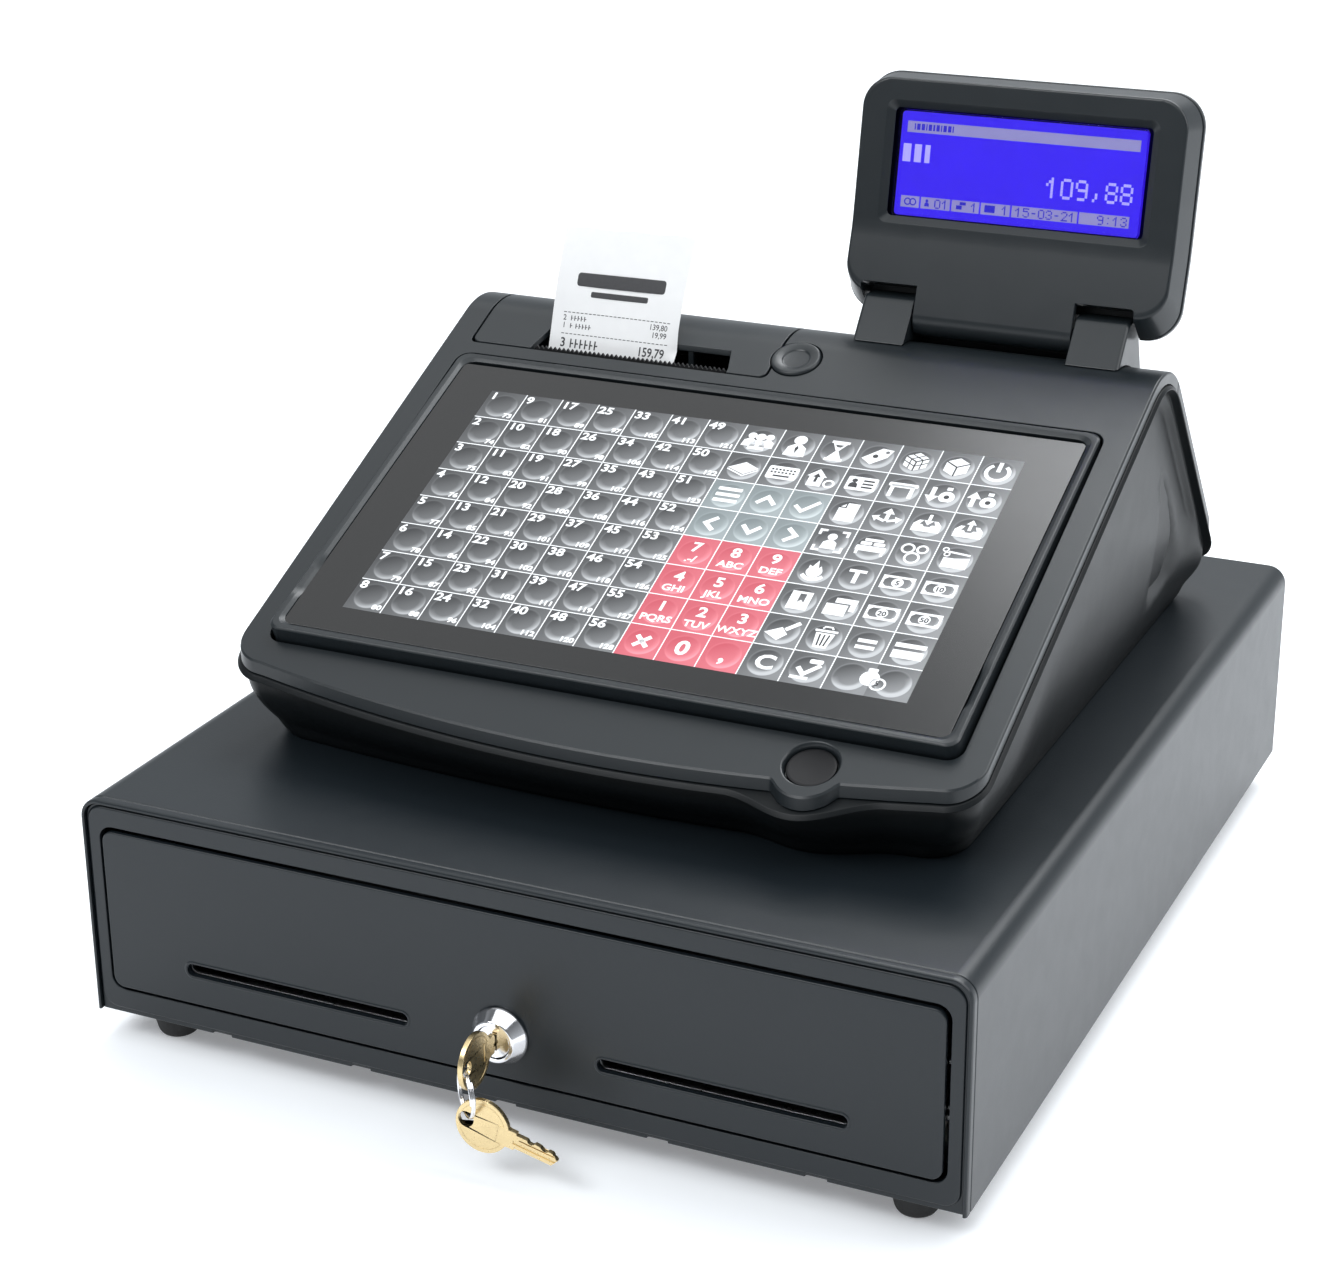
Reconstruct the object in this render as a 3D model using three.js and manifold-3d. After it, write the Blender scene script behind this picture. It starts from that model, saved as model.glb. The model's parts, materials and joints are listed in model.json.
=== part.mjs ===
// A touch-panel cash register standing on its cash drawer: sheet-metal case, sliding drawer with
// till, lock and latch, plastic register housing with printer, touch panel and tilting display.
// Millimetres, +Z up, front towards -Y. The origin is under the middle of the whole object, on the
// surface that the rubber feet stand on. Each named mesh is one separate physical piece.

import * as THREE from 'three';
import { mergeVertices } from 'three/addons/utils/BufferGeometryUtils.js';
import Module from 'manifold-3d';

const wasm = await Module();
wasm.setup();

// ---------------------------------------------------------------- driving dimensions (mm)

const GAP = 0.3;                                   // clearance between pieces that touch
const FOOT = { height: 13, x: 151, y: 190 };
const CASE = { width: 350, depth: 416, height: 89, sheet: 1.5, fold: 8 };
const FRAME_OPENING = { halfWidth: 167.5, bottom: 10.5, top: 78.5, thickness: 2.5 };
const FASCIA = { halfWidth: 166, bottom: 12, top: 77, thickness: 2.4, corner: 6 };
const MEDIA_SLOT = { length: 94, height: 5, z: 26.5, x: 85 };
const TRAY = { halfWidth: 164, front: -205.3, back: 165, bottom: 12.8, top: 72, wall: 1.5 };
const TILL = { halfWidth: 162.2, front: -168, back: 163.2, bottom: 14.6, top: 66, wall: 2.5 };
const BILL = { count: 4, front: -68, clipWidth: 14, rodY: 150, rodZ: 56, rod: 2 };
const COIN = { front: -164, back: -72, bottom: 40, top: 62, columns: 4, rows: 2, wall: 2 };
const ROLLER = { radius: 7.7, width: 4, rearY: 150, rearZ: 46.5, frontY: -190, frontZ: 25.4 };
const LOCK = { z: 29.5, bore: 6.7, core: 6.4, body: 9.5, front: -214.5, back: -182 };
const KEY = { bow: 10.5, hole: 3, thickness: 2, blade: 5.5, bowY: -228, holeY: -234.5 };
const RING = { radius: 8.4, wire: 0.55, topZ: 28.2 };
const LATCH = { x: 12, y: 188, bottom: 13, top: 17, release: 20 };

const SLOPE = { degrees: 22.18, y: -126, z: 45.8 };   // touch panel plane, above the case top
const PANEL = { halfWidth: 139.5, front: -4.5, back: 169, rim: 4.2, corner: 5 };
const GLASS = { halfWidth: 135, front: 0, back: 163, thickness: 3 };
const HOUSING = { halfWidth: 151, front: -153.2, bow: 12, rear: 166.5, corner: 14, rearCorner: 10,
  wall: 2.5, skirt: 5 };
const FOOTPRINT = { halfWidth: 140, front: -138, bow: 8, rear: 157.6, corner: 17, rimHeight: 27 };
const ROOF = { y: 30.5, z: 109.6, front: 23.7, rear: 50.9, rearY: 100, rearZ: 107.4, apex: 34, seamY: 92 };
const DISC = { x: 90.1, s: -18.6, y: -142.4, n: -5.1, radius: 9.2, sunk: 1.4, depth: 2.2 };
const BULGE = { lid: 13.5, base: 34, rise: 7.4 };      // how the front edge swells round the disc
const COVER = { left: -139, right: -5, front: 38.8, back: 104, pinY: 99, pinDepth: 6.5, knuckle: 3.4,
  pin: 1.5, barrel: [-126, -18], ear: 5 };
const NOTCH = { left: -111, right: -22, back: 51, slant: 3 };
const BUTTON = { x: 4, s: 191, radius: 10.4, proud: 1.5 };
const PAPER = { x: -78, width: 58, roll: 22, rollY: 72, rollZ: 70, thickness: 0.4 };
const GEAR = { module: 0.8, platen: 18, idler: 26, pinion: 12, x: -117, width: 4, slack: 0.3 };
const PLATEN = { y: 52.2, z: 103.5, radius: 4.6 };
const SOCKETS = { left: 18, right: 112, bottom: 5, top: 21, front: 146, back: 164,
  ports: [26, 48, 70, 92], portWidth: 13, portBottom: 8, portTop: 18, portFront: 152 };
const HINGE = { x: 77.5, y: 84, z: 132.3, barrel: 8, pin: 2, inner: 34, outer: 56 };
const DISPLAY = { x: 2.5, halfWidth: 70.5, bottom: 9, lobe: 7, top: 96, corner: 14, lean: 20, kink: 8,
  kinkAt: 36, depth: 22, rearDepth: 8, wall: 2.4, faceInset: 3 };
const LCD = { bottom: 42, top: 83, halfWidth: 52, frameX: 56, frameU: 3 };

const radians = THREE.MathUtils.degToRad;
const sides = [-1, 1];

// ---------------------------------------------------------------- materials

const finishes = {
  coat: { color: 0x2b2e30, roughness: 0.62, metalness: 0.1 },
  housing: { color: 0x2c2f31, roughness: 0.5, metalness: 0 },
  black: { color: 0x101112, roughness: 0.6, metalness: 0 },
  glass: { color: 0x15171a, roughness: 0.12, metalness: 0 },
  lcd: { color: 0x2a20e0, roughness: 0.25, metalness: 0 },
  rubber: { color: 0x141414, roughness: 0.85, metalness: 0 },
  chrome: { color: 0xd8d8da, roughness: 0.12, metalness: 1 },
  brass: { color: 0xc9a24a, roughness: 0.3, metalness: 1 },
  steel: { color: 0x9a9da0, roughness: 0.35, metalness: 1 },
  nylon: { color: 0xd9d6cc, roughness: 0.55, metalness: 0 },
  paper: { color: 0xf4f4f2, roughness: 0.85, metalness: 0 },
  board: { color: 0x1d5a36, roughness: 0.5, metalness: 0 },
};

function piece(name, geometry, finish, parent) {
  const material = new THREE.MeshStandardMaterial(finishes[finish]);
  const mesh = new THREE.Mesh(geometry, material);
  mesh.name = name;
  mesh.geometry.computeVertexNormals();
  parent.add(mesh);
  return mesh;
}

// ---------------------------------------------------------------- solids, cuts and joins

function solidOf(geometry) {
  const bare = geometry.clone();
  bare.deleteAttribute('normal');
  bare.deleteAttribute('uv');
  const merged = mergeVertices(bare, 1e-4);
  return new wasm.Manifold(new wasm.Mesh({
    numProp: 3,
    vertProperties: new Float32Array(merged.attributes.position.array),
    triVerts: new Uint32Array(merged.index.array),
  }));
}

function geometryOf(solid) {
  const mesh = solid.getMesh();
  const geometry = new THREE.BufferGeometry();
  geometry.setAttribute('position', new THREE.BufferAttribute(mesh.vertProperties, 3));
  geometry.setIndex(new THREE.BufferAttribute(mesh.triVerts, 1));
  return geometry;
}

const join = (first, ...others) => others.reduce((whole, part) => whole.add(part), first);
const cut = (first, ...others) => others.reduce((whole, part) => whole.subtract(part), first);

function box(x0, x1, y0, y1, z0, z1) {
  const geometry = new THREE.BoxGeometry(x1 - x0, y1 - y0, z1 - z0);
  geometry.translate((x0 + x1) / 2, (y0 + y1) / 2, (z0 + z1) / 2);
  return solidOf(geometry);
}

function sideBox(side, near, far, ...rest) {
  // A box on the left (side -1) or right (1), between two distances from the middle.
  return side < 0 ? box(-far, -near, ...rest) : box(near, far, ...rest);
}

function rod(axis, radius, from, to, a, b, segments = 20) {
  // A cylinder along axis; a and b are the centre's two other coordinates, in x, y, z order.
  const geometry = new THREE.CylinderGeometry(radius, radius, to - from, segments);
  const middle = (from + to) / 2;
  if (axis === 'x') geometry.rotateZ(-Math.PI / 2).translate(middle, a, b);
  if (axis === 'y') geometry.translate(a, middle, b);
  if (axis === 'z') geometry.rotateX(Math.PI / 2).translate(a, b, middle);
  return solidOf(geometry);
}

function basis(...axes) {
  const [x, y, z] = axes.map((axis) => new THREE.Vector3(...axis));
  return new THREE.Matrix4().makeBasis(x, y, z);
}

const bases = {
  x: basis([0, 1, 0], [0, 0, 1], [1, 0, 0]),
  y: basis([1, 0, 0], [0, 0, 1], [0, -1, 0]),
  z: new THREE.Matrix4(),
};

function prism(axis, shape, from, to, curveSegments = 6) {
  // Extrudes a shape along an axis. Its flat coordinates are (y, z), (x, z) or (x, y).
  const depth = to - from;
  const geometry = new THREE.ExtrudeGeometry(shape, { depth, bevelEnabled: false, curveSegments });
  geometry.applyMatrix4(bases[axis]);
  const shift = { x: [from, 0, 0], y: [0, to, 0], z: [0, 0, from] }[axis];
  return solidOf(geometry.translate(...shift));
}

const polygon = (points) => new THREE.Shape(points.map(([a, b]) => new THREE.Vector2(a, b)));

function roundedRect(a0, a1, b0, b1, radius) {
  const shape = new THREE.Shape();
  const corners = [[a1 - radius, b0 + radius, -90], [a1 - radius, b1 - radius, 0],
    [a0 + radius, b1 - radius, 90], [a0 + radius, b0 + radius, 180]];
  for (const [a, b, start] of corners) {
    shape.absarc(a, b, radius, radians(start), radians(start + 90), false);
  }
  return shape;
}

function lathe(axis, profile, segments = 24) {
  // Turns a closed [radius, along] profile about an axis.
  const points = profile.map(([r, along]) => new THREE.Vector2(r, along));
  const geometry = new THREE.LatheGeometry(points, segments);
  if (axis === 'z') geometry.rotateX(Math.PI / 2);
  return solidOf(geometry);
}

// Turned profiles that start and end on the axis run upwards; rings repeat their first point.
const ringProfile = (points) => [...points, points[0]];

// ---------------------------------------------------------------- cash drawer case

function rubberFoot(name, x, y, parent) {
  const profile = [[0, 0], [5.5, 0], [7, 0.6], [8, 2.2], [10.4, FOOT.height - GAP], [0, FOOT.height - GAP]];
  const mesh = piece(name, geometryOf(lathe('z', profile, 20)), 'rubber', parent);
  mesh.position.set(x, y, -FOOT.height);
}

function archPoints(half, top, radius, steps = 6) {
  // Up one side, round both top corners and down the other side of a sheet-metal box.
  const corner = (x, start) => Array.from({ length: steps + 1 }, (_, i) => {
    const angle = radians(start + (90 * i) / steps);
    return [x + radius * Math.cos(angle), top - radius + radius * Math.sin(angle)];
  });
  return [[half, 0], ...corner(half - radius, 0), ...corner(-half + radius, 90), [-half, 0]];
}

function caseCover(parent) {
  const arch = (inset) => archPoints(CASE.width / 2 - inset, CASE.height - inset, CASE.fold - inset);
  const skin = polygon([...arch(0), ...arch(CASE.sheet).reverse()]);
  piece('case_cover', geometryOf(prism('y', skin, -CASE.depth / 2, CASE.depth / 2)), 'coat', parent);
}

function caseChassis(parent) {
  const inset = CASE.sheet + GAP;
  const half = CASE.width / 2 - inset;
  const top = CASE.height - inset;
  const front = -CASE.depth / 2 + 1.5;
  const back = CASE.depth / 2 - 1.5;
  const wall = 1.2;
  const body = cut(
    prism('y', polygon(archPoints(half, top, CASE.fold - inset)), front, back),
    box(-half + wall, half - wall, front + FRAME_OPENING.thickness, back - wall, wall, top + 1),
    prism('y', roundedRect(-FRAME_OPENING.halfWidth, FRAME_OPENING.halfWidth, FRAME_OPENING.bottom,
      FRAME_OPENING.top, 7), front - 1, front + 4),
  );
  piece('case_chassis', geometryOf(body), 'coat', parent);
}

function drawerRail(name, side, parent) {
  const [inner, outer, web] = [165.3, 171.7, 170.3];
  const [low, high, flange] = [37, 56, 1.5];
  const channel = polygon([[inner, low], [outer, low], [outer, high], [inner, high],
    [inner, high - flange], [web, high - flange], [web, low + flange], [inner, low + flange]]);
  const mesh = piece(name, geometryOf(prism('y', channel, -203, 200)), 'steel', parent);
  if (side < 0) mesh.rotation.z = Math.PI;
  if (side < 0) mesh.position.y = -3;
}

function latchHardware(parent) {
  const bore = rod('x', 2.9, 22, 53, 197, 14, 16);
  const coilBody = cut(box(24, 56, 190, 204.8, 1.5, 22), bore);
  piece('solenoid', geometryOf(coilBody), 'steel', parent);
  piece('solenoid_plunger', geometryOf(rod('x', 2.5, 17.6, 48, 197, 14, 16)), 'steel', parent);

  const arm = box(-2, 2, -17.5, 12, 0, LATCH.top - LATCH.bottom);
  const lip = box(-13, 1, -17.5, -14.5, 0, LATCH.top - LATCH.bottom);
  const boss = rod('z', 4.5, 0, LATCH.top - LATCH.bottom, 0, 0, 20);
  const hole = rod('z', 2.2, -1, 8, 0, 0, 16);
  const lever = piece('latch_lever', geometryOf(cut(join(arm, lip, boss), hole)), 'steel', parent);
  lever.position.set(LATCH.x, LATCH.y, LATCH.bottom);
  lever.rotation.z = radians(LATCH.release);

  const collar = rod('z', 4, 0, LATCH.bottom - 1.5 - GAP, 0, 0, 16);
  const post = rod('z', 2, 0, LATCH.top, 0, 0, 16);
  piece('latch_post', geometryOf(join(collar, post)), 'steel', parent).position.set(LATCH.x, LATCH.y, 1.5);
}

class Helix extends THREE.Curve {
  constructor(radius, length, turns) {
    super();
    Object.assign(this, { radius, length, turns });
  }

  getPoint(t, target = new THREE.Vector3()) {
    const angle = 2 * Math.PI * this.turns * t;
    return target.set(this.radius * Math.cos(angle), this.length * t, this.radius * Math.sin(angle));
  }
}

function ejectorSpring(parent) {
  const section = new THREE.Shape().absarc(0, 0, 0.7, 0, 2 * Math.PI, false);
  const turns = 5;
  const wire = new THREE.ExtrudeGeometry(section, {
    steps: turns * 10, extrudePath: new Helix(6, 36.5, turns), curveSegments: 3, bevelEnabled: false,
  });
  piece('ejector_spring', geometryOf(solidOf(wire)), 'steel', parent).position.set(-60, 166.8, 42);
}

// ---------------------------------------------------------------- sliding drawer

function mediaSlot(side, y0, y1) {
  const centre = side * MEDIA_SLOT.x;
  const half = MEDIA_SLOT.length / 2;
  const end = MEDIA_SLOT.height / 2;
  return prism('y', roundedRect(centre - half, centre + half, MEDIA_SLOT.z - end, MEDIA_SLOT.z + end,
    end - 0.01), y0, y1, 3);
}

function drawerFascia(parent) {
  const front = -CASE.depth / 2 - 0.3;
  const back = front + FASCIA.thickness;
  const plate = prism('y', roundedRect(-FASCIA.halfWidth, FASCIA.halfWidth, FASCIA.bottom, FASCIA.top,
    FASCIA.corner), front, back);
  const lockHole = rod('y', LOCK.body + GAP, front - 1, back + 1, 0, LOCK.z, 32);
  const slots = sides.map((side) => mediaSlot(side, front - 1, back + 1));
  piece('drawer_fascia', geometryOf(cut(plate, lockHole, ...slots)), 'coat', parent);
}

function drawerTray(parent) {
  const { halfWidth: half, front, back, bottom, top, wall } = TRAY;
  const shell = cut(
    box(-half, half, front, back, bottom, top),
    box(-half + wall, half - wall, front + wall, back - wall, bottom + wall, top + 1),
  );
  const runners = sides.map((side) => sideBox(side, half - 1, half + 3, front + 2, back - 2, 33.4, 34.9));
  const strike = join(box(-6, -3, back - 1, back + 15, bottom, 22),
    box(-6, 2, back + 12, back + 15, bottom, 22));
  const body = cut(
    join(shell, ...runners, strike),
    rod('y', LOCK.body + GAP, front - 1, front + 4, 0, LOCK.z, 32),
    ...sides.map((side) => mediaSlot(side, front - 1, front + 4)),
  );
  piece('drawer_tray', geometryOf(body), 'coat', parent);
}

function billLayout() {
  const inner = TILL.halfWidth - TILL.wall;
  const pitch = (2 * inner + TILL.wall) / BILL.count;
  return Array.from({ length: BILL.count }, (_, i) => {
    const x0 = -inner + i * pitch;
    return { x0, x1: x0 + pitch - TILL.wall, middle: x0 + (pitch - TILL.wall) / 2 };
  });
}

function tillInsert(parent) {
  const { halfWidth: half, front, back, bottom, top, wall } = TILL;
  const floor = bottom + wall;
  const pockets = billLayout().map(({ x0, x1 }) => (
    box(x0, x1, BILL.front, back - wall, floor, top + 1)));
  const coinBay = box(-half + wall, half - wall, front + wall, BILL.front - wall, floor, top + 1);
  const rodHole = rod('x', BILL.rod + 0.4, -half - 1, half + 1, BILL.rodY, BILL.rodZ, 16);
  const ledges = sides.map((side) => sideBox(side, half - 10, half - 1, front + 1, BILL.front - 1,
    floor - 1, COIN.bottom - GAP));
  const block = box(-half, half, front, back, bottom, top);
  const body = join(cut(block, ...pockets, coinBay, rodHole), ...ledges);
  piece('till_insert', geometryOf(body), 'black', parent);
}

function coinTray(parent) {
  const half = TILL.halfWidth - TILL.wall - 1;
  const pitchX = (2 * half - COIN.wall) / COIN.columns;
  const pitchY = (COIN.back - COIN.front - COIN.wall) / COIN.rows;
  const cups = [];
  for (let column = 0; column < COIN.columns; column += 1) {
    for (let row = 0; row < COIN.rows; row += 1) {
      const x = -half + COIN.wall + column * pitchX;
      const y = COIN.front + COIN.wall + row * pitchY;
      cups.push(prism('z', roundedRect(x, x + pitchX - COIN.wall, y, y + pitchY - COIN.wall, 5),
        COIN.bottom + COIN.wall, COIN.top + 1, 1));
    }
  }
  const block = box(-half, half, COIN.front, COIN.back, COIN.bottom, COIN.top);
  piece('coin_tray', geometryOf(cut(block, ...cups)), 'black', parent);
}

function billClips(parent) {
  const inner = TILL.halfWidth - TILL.wall;
  const bar = rod('x', BILL.rod, -inner + GAP, inner - GAP, BILL.rodY, BILL.rodZ, 16);
  piece('clip_rod', geometryOf(bar), 'steel', parent);
  const half = BILL.clipWidth / 2;
  const arm = prism('x', polygon([[0, 4.4], [0, 2], [-72, -32], [-88, -36.5], [-92, -35], [-92, -33.5],
    [-88, -34.7], [-73, -30.2]]), -half, half);
  const barrel = rod('x', 4.5, -half, half, 0, 0, 20);
  const bore = rod('x', BILL.rod + 0.25, -half - 1, half + 1, 0, 0, 16);
  const clip = geometryOf(cut(join(arm, barrel), bore));
  billLayout().forEach(({ middle }, i) => {
    piece(`bill_clip_${i + 1}`, clip.clone(), 'black', parent).position.set(middle, BILL.rodY, BILL.rodZ);
  });
}

function roller(name, x, y, z, stubTo, parent) {
  const wheel = rod('x', ROLLER.radius, x - ROLLER.width / 2, x + ROLLER.width / 2, y, z);
  const stub = rod('x', 2, Math.min(x, stubTo), Math.max(x, stubTo), y, z, 12);
  piece(name, geometryOf(join(wheel, stub)), 'nylon', parent);
}

function drawerLock(parent) {
  const shoulder = -CASE.depth / 2 - 0.6;
  const barrel = lathe('y', ringProfile([[LOCK.bore, LOCK.front], [8.2, LOCK.front], [10.8, shoulder - 1.2],
    [11.2, shoulder], [LOCK.body, shoulder], [LOCK.body, LOCK.back], [LOCK.bore, LOCK.back]]));
  const body = piece('lock_body', geometryOf(barrel), 'chrome', parent);
  body.position.z = LOCK.z;

  const core = rod('y', LOCK.core, LOCK.front + 0.7, LOCK.back + 4, 0, 0, 32);
  const keyway = box(-1.3, 1.3, LOCK.front - 1, -188, -3.2, 3.2);
  piece('lock_cylinder', geometryOf(cut(core, keyway)), 'chrome', parent).position.z = LOCK.z;

  const camFront = LOCK.back + 4 + GAP;
  const camBack = camFront + 2;
  const cam = join(rod('y', 6, camFront, camBack, 0, 0, 20), box(0, 12, camFront, camBack, -4, 4));
  piece('lock_cam', geometryOf(cam), 'steel', parent).position.z = LOCK.z;
}

function keyPlate(bladeTip) {
  // A flat key in the (y, z) plane with its bow centre at the origin and its blade towards +y.
  const half = KEY.thickness / 2;
  const bow = rod('x', KEY.bow, -half, half, 0, 0, 28);
  const edge = KEY.blade / 2;
  const bits = [[0, 0], [-2.5, 2.2], [-6, 2.4], [-7.5, 1.4], [-9, edge]];
  const neck = prism('x', polygon([[6, -3.6], [13.2, -3.6], [13.2, -edge], [bladeTip - 2, -edge],
    ...bits.map(([back, height]) => [bladeTip + back, height]),
    [13.2, edge], [13.2, 3.6], [6, 3.6]]), -half, half);
  const hole = rod('x', KEY.hole, -half - 1, half + 1, KEY.holeY - KEY.bowY, 0, 16);
  return cut(join(bow, neck), hole);
}

function keys(parent) {
  const inserted = piece('inserted_key', geometryOf(keyPlate(37)), 'brass', parent);
  inserted.position.set(0, KEY.bowY, LOCK.z);

  const wire = new THREE.TorusGeometry(RING.radius, RING.wire, 6, 28);
  const ring = piece('key_ring', wire, 'steel', parent);
  ring.position.set(0, KEY.holeY, RING.topZ - RING.radius);
  ring.rotation.set(Math.PI / 2, 0, 0);
  ring.rotation.order = 'ZYX';
  ring.rotation.z = radians(-45);

  const spare = piece('spare_key', geometryOf(keyPlate(30)), 'brass', parent);
  const droop = radians(-13);
  const reach = KEY.bowY - KEY.holeY;
  const holeZ = RING.topZ - 2 * RING.radius - 1.3;
  spare.rotation.order = 'YZX';
  spare.rotation.set(0, -droop, -Math.PI / 2);
  spare.position.set(reach * Math.cos(droop), KEY.holeY, holeZ + reach * Math.sin(droop));
}

// ---------------------------------------------------------------- register housing

function bulge(x, front, inset, round) {
  // The front edge swells round the reader disc: closely on the lid, softly on the base.
  const away = Math.abs(x - DISC.x);
  if (round) {
    const radius = BULGE.lid - inset;
    return away < radius ? Math.min(front, DISC.y - Math.sqrt(radius ** 2 - away ** 2)) : front;
  }
  const swell = BULGE.rise * (1 + Math.cos((Math.PI * away) / BULGE.base)) / 2;
  return away < BULGE.base ? front - swell : front;
}

function planOutline(t, inset = 0, round = false) {
  // The housing seen from above: t = 0 at its footprint on the case, t = 1 at its rim.
  const mix = (from, to) => from + (to - from) * t;
  const half = mix(FOOTPRINT.halfWidth, HOUSING.halfWidth) - inset;
  const front = mix(FOOTPRINT.front, HOUSING.front) + inset;
  const rear = mix(FOOTPRINT.rear, HOUSING.rear) - inset;
  const bow = mix(FOOTPRINT.bow, HOUSING.bow);
  const corner = mix(FOOTPRINT.corner, HOUSING.corner) - inset;
  const rearCorner = HOUSING.rearCorner - inset;
  const bowHalf = half - corner;
  const points = [];
  const arc = (x, y, radius, start, end, steps) => {
    for (let i = 0; i <= steps; i += 1) {
      const angle = radians(start + ((end - start) * i) / steps);
      points.push([x + radius * Math.cos(angle), y + radius * Math.sin(angle)]);
    }
  };
  arc(-half + corner, front + bow + corner, corner, 180, 260, 6);
  const fineFrom = DISC.x - BULGE.base;
  const coarse = Array.from({ length: 9 }, (_, i) => -bowHalf + ((fineFrom + bowHalf) * (i + 1)) / 10);
  const fine = Array.from({ length: 18 }, (_, i) => fineFrom + ((bowHalf - fineFrom) * i) / 18);
  for (const x of [...coarse, ...fine]) {
    points.push([x, bulge(x, front + bow * (x / bowHalf) ** 2, inset, round)]);
  }
  arc(half - corner, front + bow + corner, corner, 280, 360, 6);
  arc(half - rearCorner, rear - rearCorner, rearCorner, 0, 90, 3);
  arc(-half + rearCorner, rear - rearCorner, rearCorner, 90, 180, 3);
  return points;
}

function loft(rings) {
  // Joins rings of equal point counts, each [outline, z], into one closed solid.
  const count = rings[0][0].length;
  const positions = rings.flatMap(([outline, z]) => outline.flatMap(([x, y]) => [x, y, z]));
  const faces = [];
  for (let level = 0; level + 1 < rings.length; level += 1) {
    for (let i = 0; i < count; i += 1) {
      const a = level * count + i;
      const b = level * count + ((i + 1) % count);
      faces.push(a, b, b + count, a, b + count, a + count);
    }
  }
  const cap = THREE.ShapeUtils.triangulateShape(rings[0][0].map(([x, y]) => new THREE.Vector2(x, y)), []);
  const last = (rings.length - 1) * count;
  cap.forEach(([a, b, c]) => faces.push(a, c, b, last + a, last + b, last + c));
  const geometry = new THREE.BufferGeometry();
  geometry.setAttribute('position', new THREE.Float32BufferAttribute(positions, 3));
  geometry.setIndex(faces);
  return solidOf(geometry);
}

function roofLine(inset, from = -200, to = 200) {
  // The roof's side profile, front to back: front slope, round apex, rear slope; moved in by inset.
  const front = radians(ROOF.front);
  const rear = radians(ROOF.rear);
  const [tanFront, tanRear] = [Math.tan(front), Math.tan(rear)];
  const frontAt = (y, drop) => ROOF.z + (y - ROOF.y) * tanFront - drop / Math.cos(front);
  const rearAt = (y, drop) => ROOF.rearZ - (y - ROOF.rearY) * tanRear - drop / Math.cos(rear);
  const centreY = (rearAt(0, ROOF.apex) - frontAt(0, ROOF.apex)) / (tanFront + tanRear);
  const centreZ = frontAt(centreY, ROOF.apex);
  const radius = ROOF.apex - inset;
  const points = [[from, frontAt(from, inset)]];
  const steps = 12;
  for (let i = 0; i <= steps; i += 1) {
    const angle = -front + ((front + rear) * i) / steps;
    points.push([centreY + radius * Math.sin(angle), centreZ + radius * Math.cos(angle)]);
  }
  points.push([to, rearAt(to, inset)]);
  return points;
}

function roofHeight(y, inset = 0) {
  const line = roofLine(inset);
  const next = line.findIndex(([lineY]) => lineY > y);
  const [[y0, z0], [y1, z1]] = [line[next - 1], line[next]];
  return z0 + ((z1 - z0) * (y - y0)) / (y1 - y0);
}

const underRoof = (inset, floor = -60) => polygon([[-200, floor], ...roofLine(inset), [200, floor]]);
const roofBand = (outer, inner) => polygon([...roofLine(outer), ...roofLine(inner).reverse()]);
const wide = [-200, 200];

function bowlRings(inset) {
  // Below its rim the housing draws in towards its footprint in a round belly.
  const rings = [];
  const levels = 5;
  for (let i = 0; i <= levels; i += 1) {
    const t = Math.sin((Math.PI / 2) * (i / levels));
    rings.push([planOutline(t, inset), (FOOTPRINT.rimHeight * i) / levels]);
  }
  return rings;
}

function baseShell(parent) {
  const wall = HOUSING.wall;
  const outer = loft([...bowlRings(0), [planOutline(1, 0), 150]]);
  const raised = bowlRings(wall).map(([outline, z]) => [outline, z + wall]);
  const inner = loft([...raised, [planOutline(1, wall), 150]]);
  const skin = cut(outer, inner);
  const body = skin.intersect(prism('x', underRoof(HOUSING.skirt + GAP), ...wide));
  const socketWindow = box(SOCKETS.left, SOCKETS.right, 140, 180, SOCKETS.bottom, SOCKETS.top);
  piece('base_shell', geometryOf(cut(body, socketWindow)), 'housing', parent);
}

function slopeSolid(solid) {
  // Moves a solid drawn in the touch panel's plane (x, s, n) to its place in the housing.
  const matrix = new THREE.Matrix4().makeRotationX(radians(SLOPE.degrees)).setPosition(0, SLOPE.y, SLOPE.z);
  return solid.transform(matrix.elements.slice());
}

function coverOutline(gap) {
  // The printer cover's place in the roof, seen from above.
  return roundedRect(COVER.left - gap, COVER.right + gap, COVER.front - gap, 240, 3);
}

function roofShell() {
  // Both roof pieces as one: a skin with a skirt that hangs down over the edge of the base.
  const { wall, skirt } = HOUSING;
  const plan = (inset) => prism('z', polygon(planOutline(1, inset, true)), -10, 200);
  const outer = plan(0).intersect(prism('x', roofBand(0, skirt), ...wide));
  const inner = plan(wall).intersect(prism('x', roofBand(wall, skirt + 3), ...wide));
  return cut(outer, inner);
}

function topShell(parent) {
  const front = roofShell().intersect(box(-200, 200, -200, ROOF.seamY - 0.2, -50, 200));
  const window = slopeSolid(prism('z', roundedRect(-PANEL.halfWidth - GAP, PANEL.halfWidth + GAP,
    PANEL.front - GAP, PANEL.back + GAP, PANEL.corner + GAP), -20, 20));
  const printerBay = prism('z', coverOutline(0.6), 60, 200);
  const buttonHole = slopeSolid(rod('z', BUTTON.radius + 0.4, -20, 20, BUTTON.x, BUTTON.s, 28));
  const seatFloor = DISC.n - DISC.sunk - DISC.depth;
  const discCup = slopeSolid(rod('z', DISC.radius + 1.8, seatFloor - 1.2, DISC.n - 1, DISC.x, DISC.s, 28));
  const discSeat = slopeSolid(rod('z', DISC.radius + GAP, seatFloor, 20, DISC.x, DISC.s, 28));
  const body = cut(join(front, discCup), window, printerBay, buttonHole, discSeat);
  piece('top_shell', geometryOf(body), 'housing', parent);
}

function pinPlace() {
  // The printer cover's hinge pin lies under the rear slope, a little in front of the cover's rear edge.
  return { y: COVER.pinY, z: roofHeight(COVER.pinY) - COVER.pinDepth };
}

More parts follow.
